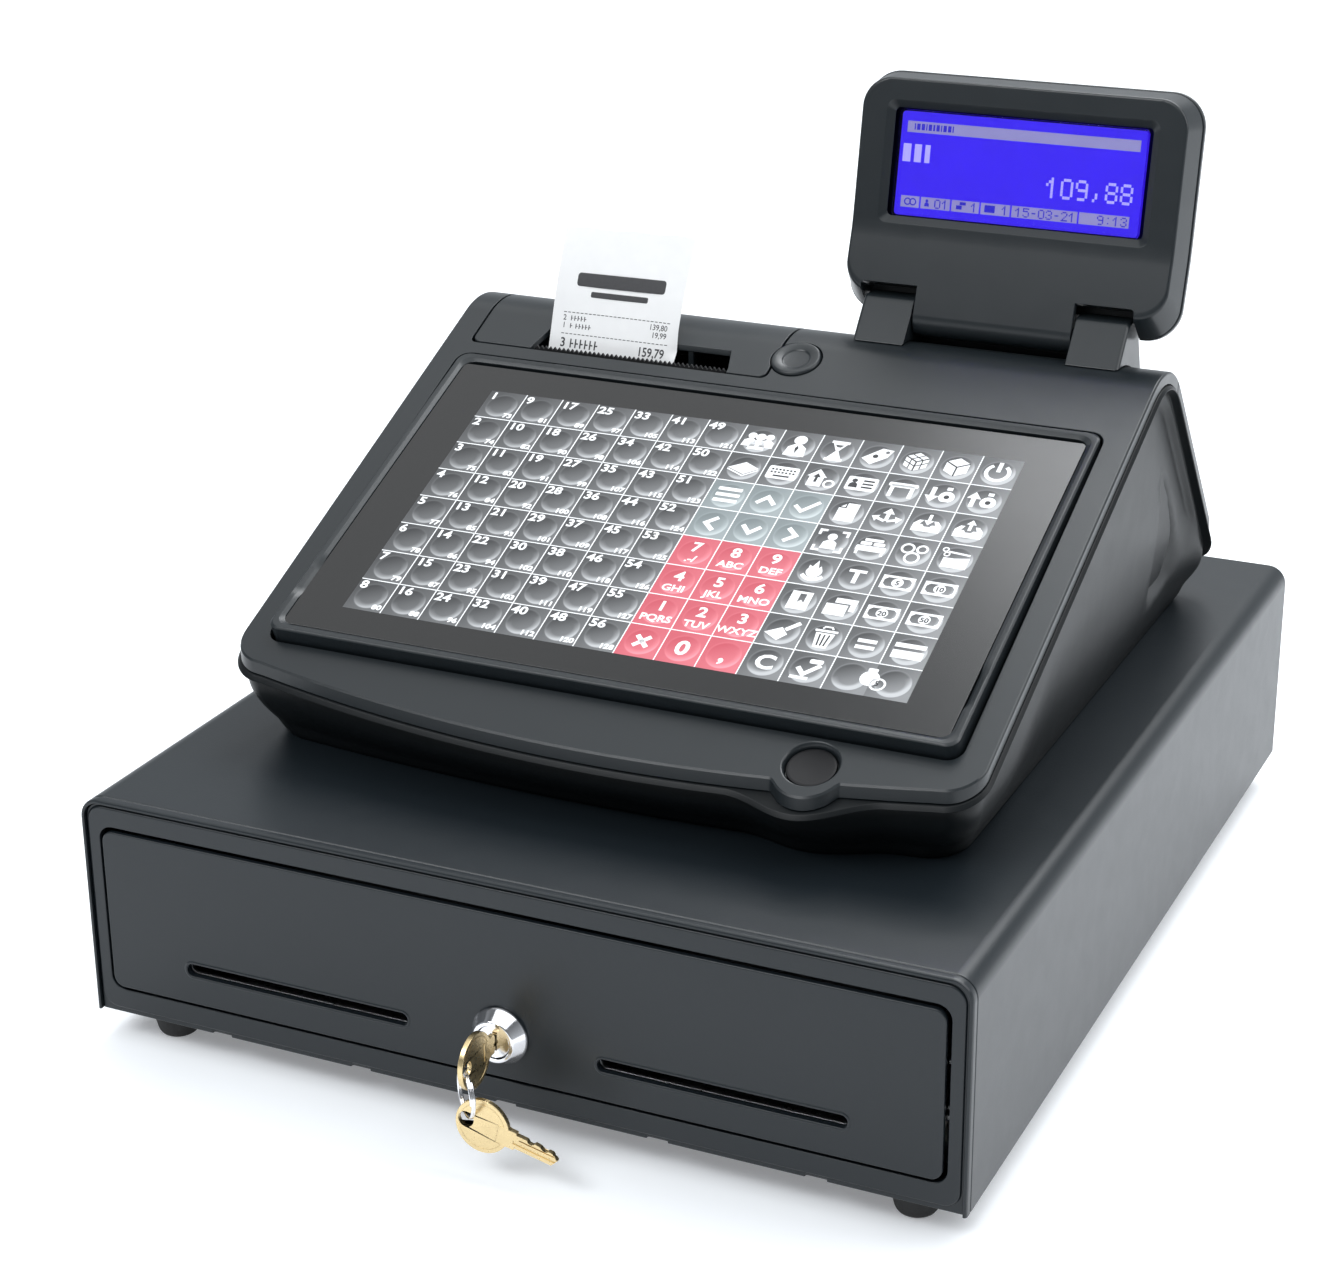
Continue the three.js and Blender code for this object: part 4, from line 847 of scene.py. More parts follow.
def receipt():
    across, along, thick = 48, 72, 0.11
    half = np.array((0, thick / 2, 0))
    rings = []
    for j in range(along + 1):
        row = [paper_point(-1 + 2 * i / across, j / along) for i in range(across + 1)]
        rings.append([p - half for p in row] + [p + half for p in row[::-1]])
    show("receipt_paper", loft(rings), HOUSING, "paper", "receipt", sharp=60)


# ---------------------------------------------------------------- customer display

KINK_AT, KINK, KINK_SOFT = 34.5, math.radians(8), 5.0
FACE_N, SPLIT_N, BACK_N = 8.0, -6.0, -14.0
DISPLAY_X = 2.5


def display_point(x, u, n):
    """A point u up the display's face and n out of it; above the kink the face leans forward."""
    past, soft = u - KINK_AT, KINK_SOFT
    bend = KINK * smooth((past + soft) / (2 * soft))
    rise = max(0.0, past) if abs(past) > soft else (past + soft) ** 2 / (4 * soft)
    ahead = n * math.cos(bend) + rise * math.sin(KINK)
    return (x, -ahead, u - rise + rise * math.cos(KINK) - n * math.sin(bend))


def bend_display(obj):
    """Bends a solid drawn flat as (x, u, n) into the display's shape."""
    bm = bmesh.new()
    bm.from_mesh(obj.data)
    for u in np.linspace(KINK_AT - KINK_SOFT, KINK_AT + KINK_SOFT, 9):
        geometry = bm.verts[:] + bm.edges[:] + bm.faces[:]
        bmesh.ops.bisect_plane(bm, geom=geometry, plane_co=(0, u, 0), plane_no=(0, 1, 0))
    for vertex in bm.verts:
        vertex.co = display_point(*vertex.co)
    bm.to_mesh(obj.data)
    bm.free()
    face_out(obj)
    return obj


def face_rings(half_width, low, high, corner, levels, foot=1.0):
    """Outlines at several (inset, n) levels; foot makes the lower edge draw in faster than the others."""
    rings = []
    for inset, n in levels:
        half = half_width - inset
        flat = rounded_rect(DISPLAY_X - half, DISPLAY_X + half, low + inset * foot, high - inset,
                            max(1, corner - inset * 0.6), 12)
        rings.append([(x, u, n) for x, u in flat])
    return rings


def ear_notch(top):
    """Room for the stand's ears between the display's lower corners."""
    return soft_prism("z", rect_outline(-57.4, 57.4, -20, top, 1.5), -30, 20, 0.01)


def display_front():
    """The front shell with its window, and the tongue that turns on the hinge pin between the arms."""
    levels = [(0.4, SPLIT_N + 0.3), (0, SPLIT_N + 0.6), (2.3, FACE_N - 0.9), (2.6, FACE_N - 0.35),
              (3.0, FACE_N - 0.06), (3.6, FACE_N)]
    shell = loft(face_rings(69.9, 1.2, 97.2, 13.6, levels, 2.6))
    inner = prism("z", rounded_rect(DISPLAY_X - 62, DISPLAY_X + 62, 17.6, 90, 9), -20, FACE_N - 2.4)
    opening_levels = [(3.6, 3), (3.6, 5.4), (3.2, 5.9), (1.0, 7.5), (0.2, 7.95), (-0.5, 8.3)]
    opening = loft(face_rings(56.9, 36.5, 86.5, 4, opening_levels))
    shell = cut(shell, inner, opening, ear_notch(11.4))
    shell = bend_display(soften(shell, 0.25, 2))
    half = 33.4
    tongue = join(rod("x", 8, -half, half, 0, 0, 72), box(-half, half, -8, -4, 0, 16))
    shell = cut(join(shell, soften(tongue, 0.4)), rod("x", 2.25, -half - 1, half + 1, 0, 0))
    show("display_face", shell, DISPLAY, "housing", "display_front", sharp=40)


def display_rear():
    """The rear shell with five shallow grooves across its back."""
    levels = [(9, BACK_N), (5.5, BACK_N + 0.35), (2.8, BACK_N + 1.3), (0.9, BACK_N + 3.2), (0, BACK_N + 5.6),
              (0, SPLIT_N - 0.5), (0.4, SPLIT_N)]
    shell = loft(face_rings(70.5, 0.8, 97.8, 14, levels))
    inner = prism("z", rounded_rect(DISPLAY_X - 67, DISPLAY_X + 67, 13, 94.3, 11), BACK_N + 2.4, 10)
    shell = cut(shell, inner, ear_notch(8))
    for u in np.linspace(30, 44, 5):
        groove = rounded_rect(DISPLAY_X - 22, DISPLAY_X + 22, u - 0.8, u + 0.8, 0.75, 4)
        shell = cut(shell, prism("z", groove, -20, BACK_N + 1.5))
    show("display_back", bend_display(soften(shell, 0.25, 2)), DISPLAY, "housing", "display_rear")


def display_stand():
    """Two arms on the roof, drawn as one block with the room for the display's tongue cut out."""
    y, z = HINGE_Y, HINGE_Z
    inner, outer = 34.0, 56.0
    side = [(y - 26, 100), (y + 22, 100), *arc(y + 3, z, 8, 12, 80, 8), *arc(y - 1, z + 3, 5, 100, 140, 6),
            (y - 20, z - 12)]
    block = soften(prism("x", side, HINGE_X - outer, HINGE_X + outer), 1.6, 4)
    between = (HINGE_X - inner, HINGE_X + inner)
    gap = join(rod("x", 9.2, *between, y, z, 72), box(*between, y - 30, y + 40, z - 3, z + 60),
               box(*between, y - 30, y + 6, z - 30, z))
    pin = rod("x", 2.2, between[0] - 14, between[1] + 14, y, z)
    body = cut(block, gap, pin, under_roof(-0.3))
    show("display_arms", soften(body, 0.5), HOUSING, "housing", "display_stand")


def register():
    shell = roof_shell()
    base_shell()
    rear_cover(copy_of(shell))
    lid(shell)
    printer_cover()
    release_button()
    reader_disc()
    panel_bezel()
    touch_glass()
    rear_sockets()
    tear_bar()
    receipt()
    display_stand()
    display_front()
    display_rear()


# ---------------------------------------------------------------- cash drawer

CASE_HALF, CASE_FOLD, SHEET = 175.0, 8.0, 1.5
LOCK_Z = 29.5
SLOT_X, SLOT_Z, SLOT_HALF, SLOT_END = 85, 26.5, 47, 2.5


def arch(inset):
    """Up one side, over the rounded top corners and down the other side of the sheet-metal case."""
    half, top, fold = CASE_HALF - inset, CASE_HEIGHT - inset, max(0.3, CASE_FOLD - inset)
    return [(half, 0), *arc(half - fold, top - fold, fold, 0, 90, 14),
            *arc(-half + fold, top - fold, fold, 90, 180, 14), (-half, 0)]


def case_cover():
    """The folded cover; its front edge is hemmed, with a fine groove behind the hem."""
    stations = [(-208, 0.8, 0.3), (-207.8, 0.35, 0), (-207.3, 0.08, 0), (-206.6, 0, 0), (-204.6, 0, 0),
                (-204.3, 0.12, 0), (-204.1, 0.45, 0), (-203.8, 0.45, 0), (-203.5, 0.1, 0), (-203.1, 0, 0),
                (-150, 0, 0), (-60, 0, 0), (60, 0, 0), (150, 0, 0), (207.4, 0, 0), (207.8, 0.2, 0),
                (208, 0.6, 0.3)]
    rings = []
    for y, outer, inner in stations:
        skin = arch(outer) + arch(SHEET - inner)[::-1]
        rings.append([(x, y, z) for x, z in skin])
    show("cover_sheet", loft(rings), DRAWER, "coat", "case_cover", sharp=30)


def case_chassis():
    """The tray under the cover, with the front frame, five notches below it and a cord hole behind."""
    inset = SHEET + 0.3
    front, back, wall = -206.5, 206.5, 1.2
    half = CASE_HALF - inset
    body = prism("y", arch(inset), front, back)
    body = cut(body, box(-half + wall, half - wall, front + 2.5, back - wall, wall, CASE_HEIGHT))
    lip = soft_prism("y", rect_outline(-172.4, 172.4, 2.2, 86.4, 6.5), front - 0.9, front + 1, 0.8)
    body = join(body, lip)
    body = cut(body, prism("y", rounded_rect(-167.5, 167.5, 10.5, 78.5, 5.5), front - 3, front + 4))
    for x in (-120, -60, 0, 60, 120):
        body = cut(body, box(x - 4, x + 4, front - 1, front + 1.2, -1, 1.2))
    body = cut(body, prism("y", rounded_rect(-36, -18, 20, 32, 3), back - 3, back + 2))
    show("chassis", soften(body, 0.4), DRAWER, "coat", "case_chassis")


def slot_outline(side, inset=0.0):
    """The round-ended media slot on one side of the lock."""
    centre, half, end = side * SLOT_X, SLOT_HALF - inset, SLOT_END - inset
    return rounded_rect(centre - half, centre + half, SLOT_Z - end, SLOT_Z + end, end - 0.01, 10)


def fascia():
    """The drawer's front plate, with a raised rim round each media slot and a hole for the lock."""
    front, back = -208.3, -205.9
    plate = soft_prism("y", rect_outline(-166, 166, 12, 77, 4.5, 12), front, back, 0.6)
    rim_levels = [(-1.5, 0.4), (-1.3, 0.02), (-0.9, -0.28), (-0.4, -0.32), (0.05, -0.05), (0.1, 0.6)]
    for side in (-1, 1):
        rings = [[(a, front + step, b) for a, b in slot_outline(side, inset)] for inset, step in rim_levels]
        rim = loft(rings)
        plate = cut(join(plate, rim), prism("y", slot_outline(side), front - 2, back + 1))
    plate = cut(plate, rod("y", 9.8, front - 1, back + 1, 0, LOCK_Z, 72))
    show("fascia", soften(plate, 0.15, 2), DRAWER, "coat", "drawer_fascia", sharp=30)


def lock():
    """The chrome collar, and the core with a keyway in it."""
    shoulder, tip, inner_end = -208.6, -214.5, -182
    profile = [(6.7, tip), (7.6, tip), (8.0, tip + 0.15), (8.25, tip + 0.5), (10.6, shoulder - 1.7),
               (11.05, shoulder - 1.1), (11.2, shoulder - 0.5), (11.15, shoulder), (9.5, shoulder),
               (9.5, inner_end), (6.7, inner_end)]
    show("lock_bezel", lathe("y", profile, 96, ring=True, b=LOCK_Z), DRAWER, "chrome", "lock_body")
    core = soft_prism("y", lambda k: arc(0, LOCK_Z, 6.4 - k, 0, 360, 72)[:-1], -213.8, -178, 0.35)
    core = cut(core, box(-1.3, 1.3, -216, -188, LOCK_Z - 3.2, LOCK_Z + 3.2))
    show("lock_core", soften(core, 0.1, 2), DRAWER, "chrome", "lock_cylinder")


def key_plate(tip):
    """A flat key in the (y, z) plane, bow centre at the origin, with a cut blade towards +y up to tip."""
    half = 1.0
    bow = soft_prism("x", lambda k: arc(0, 0, 10.5 - k, 0, 360, 72)[:-1], -half, half, 0.25)
    face = rod("x", 8.9, half - 0.14, half + 1, 0, 0, 72)
    other_face = rod("x", 8.9, -half - 1, -half + 0.14, 0, 0, 72)
    cuts = [(2.5, 2.2), (4, 2.3), (4.8, 1.5), (6, 1.4), (7.3, 2.5), (9.5, 2.75), (10.4, 1.7), (11.8, 1.7),
            (12.6, 2.75)]
    outline = [(6, -3.6), (13.2, -3.6), (13.2, -2.75), (tip - 2, -2.75), (tip, 0),
               *((tip - back, height) for back, height in cuts), (13.2, 2.75), (13.2, 3.6), (6, 3.6)]
    blade = prism("x", outline, -half, half)
    body = join(cut(bow, face, other_face), blade)
    for x0, x1 in ((half - 0.45, half + 1), (-half - 1, -half + 0.45)):
        body = cut(body, box(x0, x1, 12.5, tip + 1, -1.1, 0.1))
        body = cut(body, box(x0, x1, 14.5, tip + 1, 1.0, 1.4))
    return soften(cut(body, rod("x", 3, -half - 1, half + 1, -6.5, 0, 40)), 0.16, 2)


def turned(obj, matrix):
    obj.data.transform(matrix)
    return obj


def keys():
    bow_y, hole_y, ring_top = -228.0, -234.5, 28.2
    inserted = turned(key_plate(37), Matrix.Translation((0, bow_y, LOCK_Z)))
    show("key_in_lock", inserted, DRAWER, "brass", "inserted_key")

    turns, radius, wire = 2.15, 8.4, 0.55
    coil = [(radius * math.cos(a), wire * (a / (2 * math.pi) - turns / 2) * 1.05, radius * math.sin(a))
            for a in np.linspace(0, 2 * math.pi * turns, 150)]
    ring_turn = Matrix.Rotation(math.radians(-45), 4, "Z")
    ring_place = Matrix.Translation((0, hole_y, ring_top - radius)) @ ring_turn
    show("split_ring", turned(tube(coil, wire, 12), ring_place), DRAWER, "chrome", "key_ring", sharp=60)

    droop, reach = math.radians(-13), 6.5
    hole_z = ring_top - 2 * radius - 1.3
    place = (Matrix.Translation((reach * math.cos(droop), hole_y, hole_z + reach * math.sin(droop)))
             @ Matrix.Rotation(-droop, 4, "Y") @ Matrix.Rotation(-math.pi / 2, 4, "Z"))
    show("key_spare", turned(key_plate(30), place), DRAWER, "brass", "spare_key")


FOOT_X, FOOT_Y, FOOT_DEEP = 151, 190, 13


def feet():
    """Four rubber feet, each held by a screw from below."""
    names = {(-1, -1): "front_left", (1, -1): "front_right", (-1, 1): "rear_left", (1, 1): "rear_right"}
    profile = [(1.8, 3), (1.8, 0.4), (2.2, 0), (5.4, 0), (6.2, 0.15), (7, 0.7), (7.6, 1.6), (8, 2.6),
               (9.2, 7.6), (10.1, 11.6), (10.3, 12.3), (10.1, 12.7), (0.01, 12.7), (0.01, 3)]
    for (side, end), name in names.items():
        x, y = side * FOOT_X, end * FOOT_Y
        foot = turned(lathe("z", profile, 64, a=x, b=y), Matrix.Translation((0, 0, -FOOT_DEEP)))
        show(f"rubber_{name}", foot, DRAWER, "rubber", f"foot_{name}", sharp=40)
        upside_down = Matrix.Translation((x, y, -9.6)) @ Matrix.Rotation(math.pi, 4, "X")
        screw = turned(pan_screw(2.9, 1.2), upside_down)
        show(f"foot_screw_{name}", screw, DRAWER, "steel", body="case")


def pan_screw(radius, height):
    """A cross-head screw's head, standing on z = 0."""
    profile = [(0.01, -0.8), (radius, -0.8), (radius, height * 0.3), (radius * 0.9, height * 0.68),
               (radius * 0.68, height * 0.92), (radius * 0.35, height), (0.01, height)]
    head = lathe("z", profile, 40)
    arm, half = radius * 0.55, radius * 0.13
    head = cut(head, box(-arm, arm, -half, half, height * 0.3, 3 * height))
    return cut(head, box(-half, half, -arm, arm, height * 0.3, 3 * height))


def case_screws():
    """Fixings on the case's back."""
    spots = [(x, z) for x in (-166, -90, 90, 166) for z in (12, 76)]
    for index, (x, z) in enumerate(spots):
        facing_back = Matrix.Translation((x, 206.5, z)) @ Matrix.Rotation(-math.pi / 2, 4, "X")
        show(f"case_screw_{index}", turned(pan_screw(3.2, 1.7), facing_back), DRAWER, "steel", body="case")


def cash_drawer():
    case_cover()
    case_chassis()
    fascia()
    lock()
    keys()
    feet()
    case_screws()


# ---------------------------------------------------------------- printed marks

# A shape is a list of loops: an outline, and then any holes in it.

def stroke(points, width):
    """A line of constant width through points."""
    path = [np.array(p, float) for p in points]
    ways = [(b - a) / np.linalg.norm(b - a) for a, b in zip(path, path[1:])]
    normals = [np.array((-w[1], w[0])) for w in ways]
    left, right = [], []
    for i, point in enumerate(path):
        nearby = normals[max(0, i - 1):i + 1]
        middle = sum(nearby)
        middle /= np.linalg.norm(middle)
        offset = middle * width / 2 / max(0.4, float(np.dot(middle, nearby[0])))
        left.append(point + offset)
        right.append(point - offset)
    return [left + right[::-1]]


def disc(a, b, radius, steps=20):
    return [arc(a, b, radius, 0, 360, steps)[:-1]]


def hoop(a, b, radius, width):
    return disc(a, b, radius, 24) + disc(a, b, radius - width, 24)


def bar(a0, b0, a1, b1, corner=0.0):
    if corner:
        return [rounded_rect(a0, a1, b0, b1, corner, 3)]
    return [[(a0, b0), (a1, b0), (a1, b1), (a0, b1)]]


INK_THICK = 0.02


class Ink:
    """Thin raised marks, collected flat and then laid on a surface as one piece."""

    def __init__(self):
        self.vertices, self.faces = [], []

    def shape(self, loops, a=0.0, b=0.0, scale=1.0, level=0.0):
        """Adds a shape, moved to (a, b) after scaling and raised to a level."""
        loops = [[Vector((a + scale * p[0], b + scale * p[1], 0)) for p in loop] for loop in loops]
        flat = [point for loop in loops for point in loop]
        base, count = len(self.vertices), len(flat)
        for height in (level, level + INK_THICK):
            self.vertices += [(point.x, point.y, height) for point in flat]
        for triangle in tessellate_polygon(loops):
            i, j, k = (base + index for index in triangle)
            self.faces += [(i, j, k), (k + count, j + count, i + count)]
        start = base
        for loop in loops:
            size = len(loop)
            for i in range(size):
                p, q = start + i, start + (i + 1) % size
                self.faces.append((p, q, q + count, p + count))
            start += size

    def text(self, body, a, b, size, align="LEFT", bold=0.0, wide=1.0, level=0.0):
        """Adds text; bold thickens its strokes by millimetres and wide stretches it across."""
        curve = bpy.data.curves.new("letters", "FONT")
        curve.body = body
        curve.size = size
        curve.align_x = align
        curve.offset = bold
        curve.resolution_u = 3
        curve.extrude = INK_THICK / 2
        obj = bpy.data.objects.new("letters", curve)
        SCRATCH.objects.link(obj)
        mesh = bpy.data.meshes.new_from_object(obj)
        base = len(self.vertices)
        lift = level + INK_THICK / 2
        self.vertices += [(a + v.co.x * wide, b + v.co.y, v.co.z + lift) for v in mesh.vertices]
        self.faces += [tuple(base + i for i in face.vertices) for face in mesh.polygons]
        bpy.data.objects.remove(obj)
        bpy.data.curves.remove(curve)
        bpy.data.meshes.remove(mesh)

    def lay(self, name, place, finish, body, slot, surface_point=None):
        """Makes the piece; surface_point(a, b, height) bends it onto a curved surface."""
        points = [surface_point(*v) for v in self.vertices] if surface_point else self.vertices
        obj = scratch(points, self.faces)
        bm = bmesh.new()
        bm.from_mesh(obj.data)
        bmesh.ops.remove_doubles(bm, verts=bm.verts, dist=0.0005)
        bmesh.ops.recalc_face_normals(bm, faces=bm.faces)
        bm.to_mesh(obj.data)
        bm.free()
        show(name, obj, place, finish, body=body)


def person(a=0.0, b=0.0, k=1.0):
    """A plain figure: a disc over a tapered body, k times the usual size."""
    body = [(-0.2, -0.26), (0.2, -0.26), (0.17, -0.03), (0.07, 0.05), (-0.07, 0.05), (-0.17, -0.03)]
    return [disc(a, b + 0.17 * k, 0.12 * k), [[(a + p * k, b + q * k) for p, q in body]]]


def rotated(points, degrees):
    t = math.radians(degrees)
    return np.array(points) @ np.array(((math.cos(t), math.sin(t)), (-math.sin(t), math.cos(t))))


def arrow(a, b, degrees, k=1.0):
    """An arrow pointing up, turned anticlockwise."""
    outline = np.array([(-0.05, -0.22), (0.05, -0.22), (0.05, 0.04), (0.15, 0.04), (0, 0.24), (-0.15, 0.04),
                        (-0.05, 0.04)]) * k
    return [[tuple(p + (a, b)) for p in rotated(outline, degrees)]]


def weigh(degrees):
    """A weight beside an arrow, with a dark spot on the weight."""
    weight = [arc(0.1, -0.04, 0.17, -60, 240, 18)]
    return [arrow(-0.22, 0, degrees), weight, bar(0.04, 0.17, 0.16, 0.26)], [disc(0.1, -0.04, 0.06)]


def chevron(degrees):
    return [stroke(rotated([(-0.2, -0.1), (0, 0.12), (0.2, -0.1)], degrees), 0.1)]


def crate(crossed):
    """A box seen from a corner, with dark edges between its faces; crossed adds an edge across each."""
    corners = [np.array(p) for p in arc(0, 0, 0.29, -90, 270, 6)[:-1]]
    dark = [stroke([(0, 0), corners[i]], 0.035) for i in (0, 2, 4)]
    if crossed:
        for i in (0, 2, 4):
            tip = corners[i]
            beside = (corners[i + 1], corners[i - 1])
            dark += [stroke([tip / 2, tip / 2 + (end - tip)], 0.025) for end in beside]
    return [[corners]], dark


def banknote():
    outer = [(-0.34, -0.19), (0.34, -0.19), (0.34, 0.19), (-0.34, 0.19)]
    inner = [(-0.22, -0.13), (0.22, -0.13), (0.29, -0.06), (0.29, 0.06), (0.22, 0.13), (-0.22, 0.13),
             (-0.29, 0.06), (-0.29, -0.06)]
    return [[outer, inner], disc(0, 0, 0.125)]


def tray(degrees):
    half = [(0.3, -0.24), (0.3, -0.02), (0.2, 0.1), (0.11, 0.1), (0.17, -0.03), (0.1, -0.03), (0.06, -0.09)]
    box_shape = [(-0.3, -0.24), *half, *((-a, b) for a, b in half[:0:-1])]
    return [[box_shape], arrow(0, 0.13, degrees, 0.7)]


def corner_marks():
    return [stroke([(a * 0.16, b * 0.3), (a * 0.3, b * 0.3), (a * 0.3, b * 0.16)], 0.06)
            for a, b in ((1, 1), (1, -1), (-1, 1), (-1, -1))]


def key_signs():
    """Signs on the keys, in cell units: (column, row) to light shapes and dark shapes over them."""
    lines = [bar(-0.27, b, 0.27, b + 0.1, 0.02) for b in (-0.22, -0.04, 0.14)]
    cones = [[[(-0.16, b), (0.16, b), (0.03, 0), (-0.03, 0)]] for b in (0.24, -0.24)]
    cones[0].append([(-0.1, 0.2), (0.1, 0.2), (0.04, 0.12), (-0.04, 0.12)])
    hourglass = [bar(-0.2, 0.24, 0.2, 0.32), bar(-0.2, -0.32, 0.2, -0.24), *cones]
    tag = [[(-0.3, -0.1), (-0.06, -0.27), (0.24, 0), (0.32, 0.24), (0.06, 0.27)], disc(0.2, 0.16, 0.045)[0]]
    power = [stroke(arc(0, 0, 0.24, 125, 415, 24), 0.085), bar(-0.045, 0.02, 0.045, 0.32)]
    note = [[[(-0.34, -0.04), (0.06, -0.2), (0.34, 0.02), (0.0, 0.18)]],
            [[(-0.34, -0.1), (0.06, -0.27), (0.34, -0.05), (0.34, -0.01), (0.06, -0.23), (-0.34, -0.06)]]]
    small_keys = [bar(a, b, a + 0.05, b + 0.05) for a in np.linspace(-0.27, 0.22, 7) for b in (-0.02, 0.07)]
    house = [[(-0.28, -0.26), (0.04, -0.26), (0.04, 0.04), (0.1, 0.04), (-0.12, 0.28), (-0.34, 0.04),
              (-0.28, 0.04)]]
    id_lines = [bar(0.02, b, 0.26, b + 0.05) for b in (-0.12, -0.02, 0.08)]
    table = [stroke([(-0.22, -0.24), (-0.22, 0.1), (0.22, 0.1), (0.22, -0.24)], 0.09),
             bar(-0.32, 0.08, 0.32, 0.2, 0.04)]
    page = [[(-0.2, -0.28), (0.22, -0.28), (0.22, 0.28), (-0.04, 0.28), (-0.2, 0.12)]]
    page_fold = [[(-0.2, 0.12), (-0.04, 0.12), (-0.04, 0.28), (-0.07, 0.28), (-0.07, 0.15), (-0.2, 0.15)]]
    split = [arrow(0, 0.1, 0, 0.85), arrow(-0.17, -0.04, 70, 0.7), arrow(0.17, -0.04, -70, 0.7)]
    bed = [bar(-0.32, -0.14, 0.32, 0.02, 0.03), bar(-0.26, 0.04, -0.02, 0.14, 0.03),
           bar(0.02, 0.04, 0.26, 0.14, 0.03), bar(-0.2, 0.16, 0.2, 0.24, 0.02),
           bar(-0.3, -0.24, -0.24, -0.14), bar(0.24, -0.24, 0.3, -0.14)]
    coins = [hoop(-0.14, 0.12, 0.15, 0.05), hoop(0.16, 0.14, 0.13, 0.05), hoop(0.02, -0.14, 0.17, 0.05)]
    coupon = [[[(-0.24, -0.26), (0.3, -0.26), (0.3, 0.08), (-0.02, 0.02), (-0.24, 0.02)]],
              stroke([(-0.18, 0.2), (0.28, 0.16)], 0.05), hoop(-0.26, 0.25, 0.07, 0.03),
              hoop(-0.2, 0.12, 0.07, 0.03)]
    tongues = [(0.1, 0.14), (0.06, 0.06), (0.0, 0.3), (-0.08, 0.1), (-0.15, 0.14)]
    flame = [arc(0, -0.04, 0.17, 150, 390, 14) + tongues]
    dish = [arc(0, -0.02, 0.3, 215, 325, 12) + arc(0, 0.02, 0.24, 325, 215, 12)]
    bookmark = [[(-0.2, -0.26), (0.24, -0.26), (0.24, 0.26), (-0.2, 0.26)],
                [(-0.02, 0.2), (0.12, 0.2), (0.12, -0.06), (0.05, 0.02), (-0.02, -0.06)]]
    cards = [bar(-0.3, -0.26, 0.16, 0.06),
             [[(-0.14, 0.1), (0.2, 0.1), (0.2, -0.1), (0.32, -0.1), (0.32, 0.24), (-0.14, 0.24)]]]
    brush = [stroke([(0.06, 0.04), (0.3, 0.28)], 0.1),
             [[(-0.02, 0.1), (0.14, -0.08), (-0.02, -0.28), (-0.34, -0.1)]]]
    waste = [[[(-0.2, 0.12), (0.2, 0.12), (0.14, -0.3), (-0.14, -0.3)]], bar(-0.24, 0.15, 0.24, 0.21, 0.02),
             stroke([(-0.1, 0.24), (-0.06, 0.3), (0.08, 0.3), (0.12, 0.24)], 0.04)]
    waste_ribs = [stroke([(a, 0.08), (a * 0.7, -0.24)], 0.035) for a in (-0.1, 0, 0.1)]
    equals = [bar(-0.2, 0.04, 0.2, 0.14), bar(-0.2, -0.14, 0.2, -0.04)]
    bank_card = [bar(-0.32, 0.08, 0.32, 0.2), bar(-0.32, -0.22, 0.32, 0.0)]
    cross = [stroke([(-0.15, -0.15), (0.15, 0.15)], 0.1), stroke([(-0.15, 0.15), (0.15, -0.15)], 0.1)]
    tick = stroke([(-0.24, 0), (-0.06, -0.16), (0.26, 0.18)], 0.09)
    stamp = [stroke([(-0.2, 0.02), (-0.04, -0.16), (0.24, 0.14)], 0.1),
             bar(-0.28, -0.3, 0.1, -0.22), bar(-0.02, 0.16, 0.26, 0.28, 0.04)]
    purse = [disc(-0.04, 0.02, 0.2, 18), bar(-0.14, 0.2, 0.06, 0.3, 0.03), hoop(0.16, -0.1, 0.17, 0.045)]
    group = person(-0.2, 0, 0.8) + person(0.2, 0, 0.8) + person(0, -0.05, 0.95)
    necktie = [[(0, 0), (0.04, -0.08), (0, -0.26), (-0.04, -0.08)]]
    light_only = {
        (8, 1): group, (10, 1): hourglass, (14, 1): power, (8, 2): note, (12, 2): table, (8, 3): lines,
        (9, 3): chevron(0), (10, 3): [tick], (12, 3): split, (13, 3): tray(180), (14, 3): tray(0),
        (8, 4): chevron(90), (9, 4): chevron(180), (10, 4): chevron(-90),
        (11, 4): corner_marks() + person(0, -0.02, 0.85), (12, 4): bed, (13, 4): coins, (14, 4): coupon,
        (11, 5): [flame, dish], (13, 5): banknote(), (14, 5): banknote(), (11, 6): [bookmark],
        (12, 6): cards, (13, 6): banknote(), (14, 6): banknote(), (11, 7): brush, (13, 7): equals,
        (14, 7): bank_card, (8, 8): cross, (12, 8): stamp, WIDE_KEY: purse}
    return {key: (shapes, []) for key, shapes in light_only.items()} | {
        (9, 1): (person(0, -0.02, 1.2), [necktie]), (11, 1): ([tag], [disc(-0.02, 0, 0.06)]),
        (12, 1): crate(True), (13, 1): crate(False),
        (9, 2): ([bar(-0.34, -0.2, 0.34, 0.2, 0.05)], small_keys + [bar(-0.18, -0.13, 0.18, -0.08)]),
        (10, 2): ([house, hoop(0.2, -0.14, 0.13, 0.05)], [arrow(-0.12, 0, 0, 0.6)]),
        (11, 2): ([bar(-0.33, -0.21, 0.33, 0.21, 0.04)], person(-0.17, 0, 0.5) + id_lines),
        (13, 2): weigh(180), (14, 2): weigh(0), (11, 3): ([page], [page_fold]), (12, 7): (waste, waste_ribs)}


# ---------------------------------------------------------------- key panel

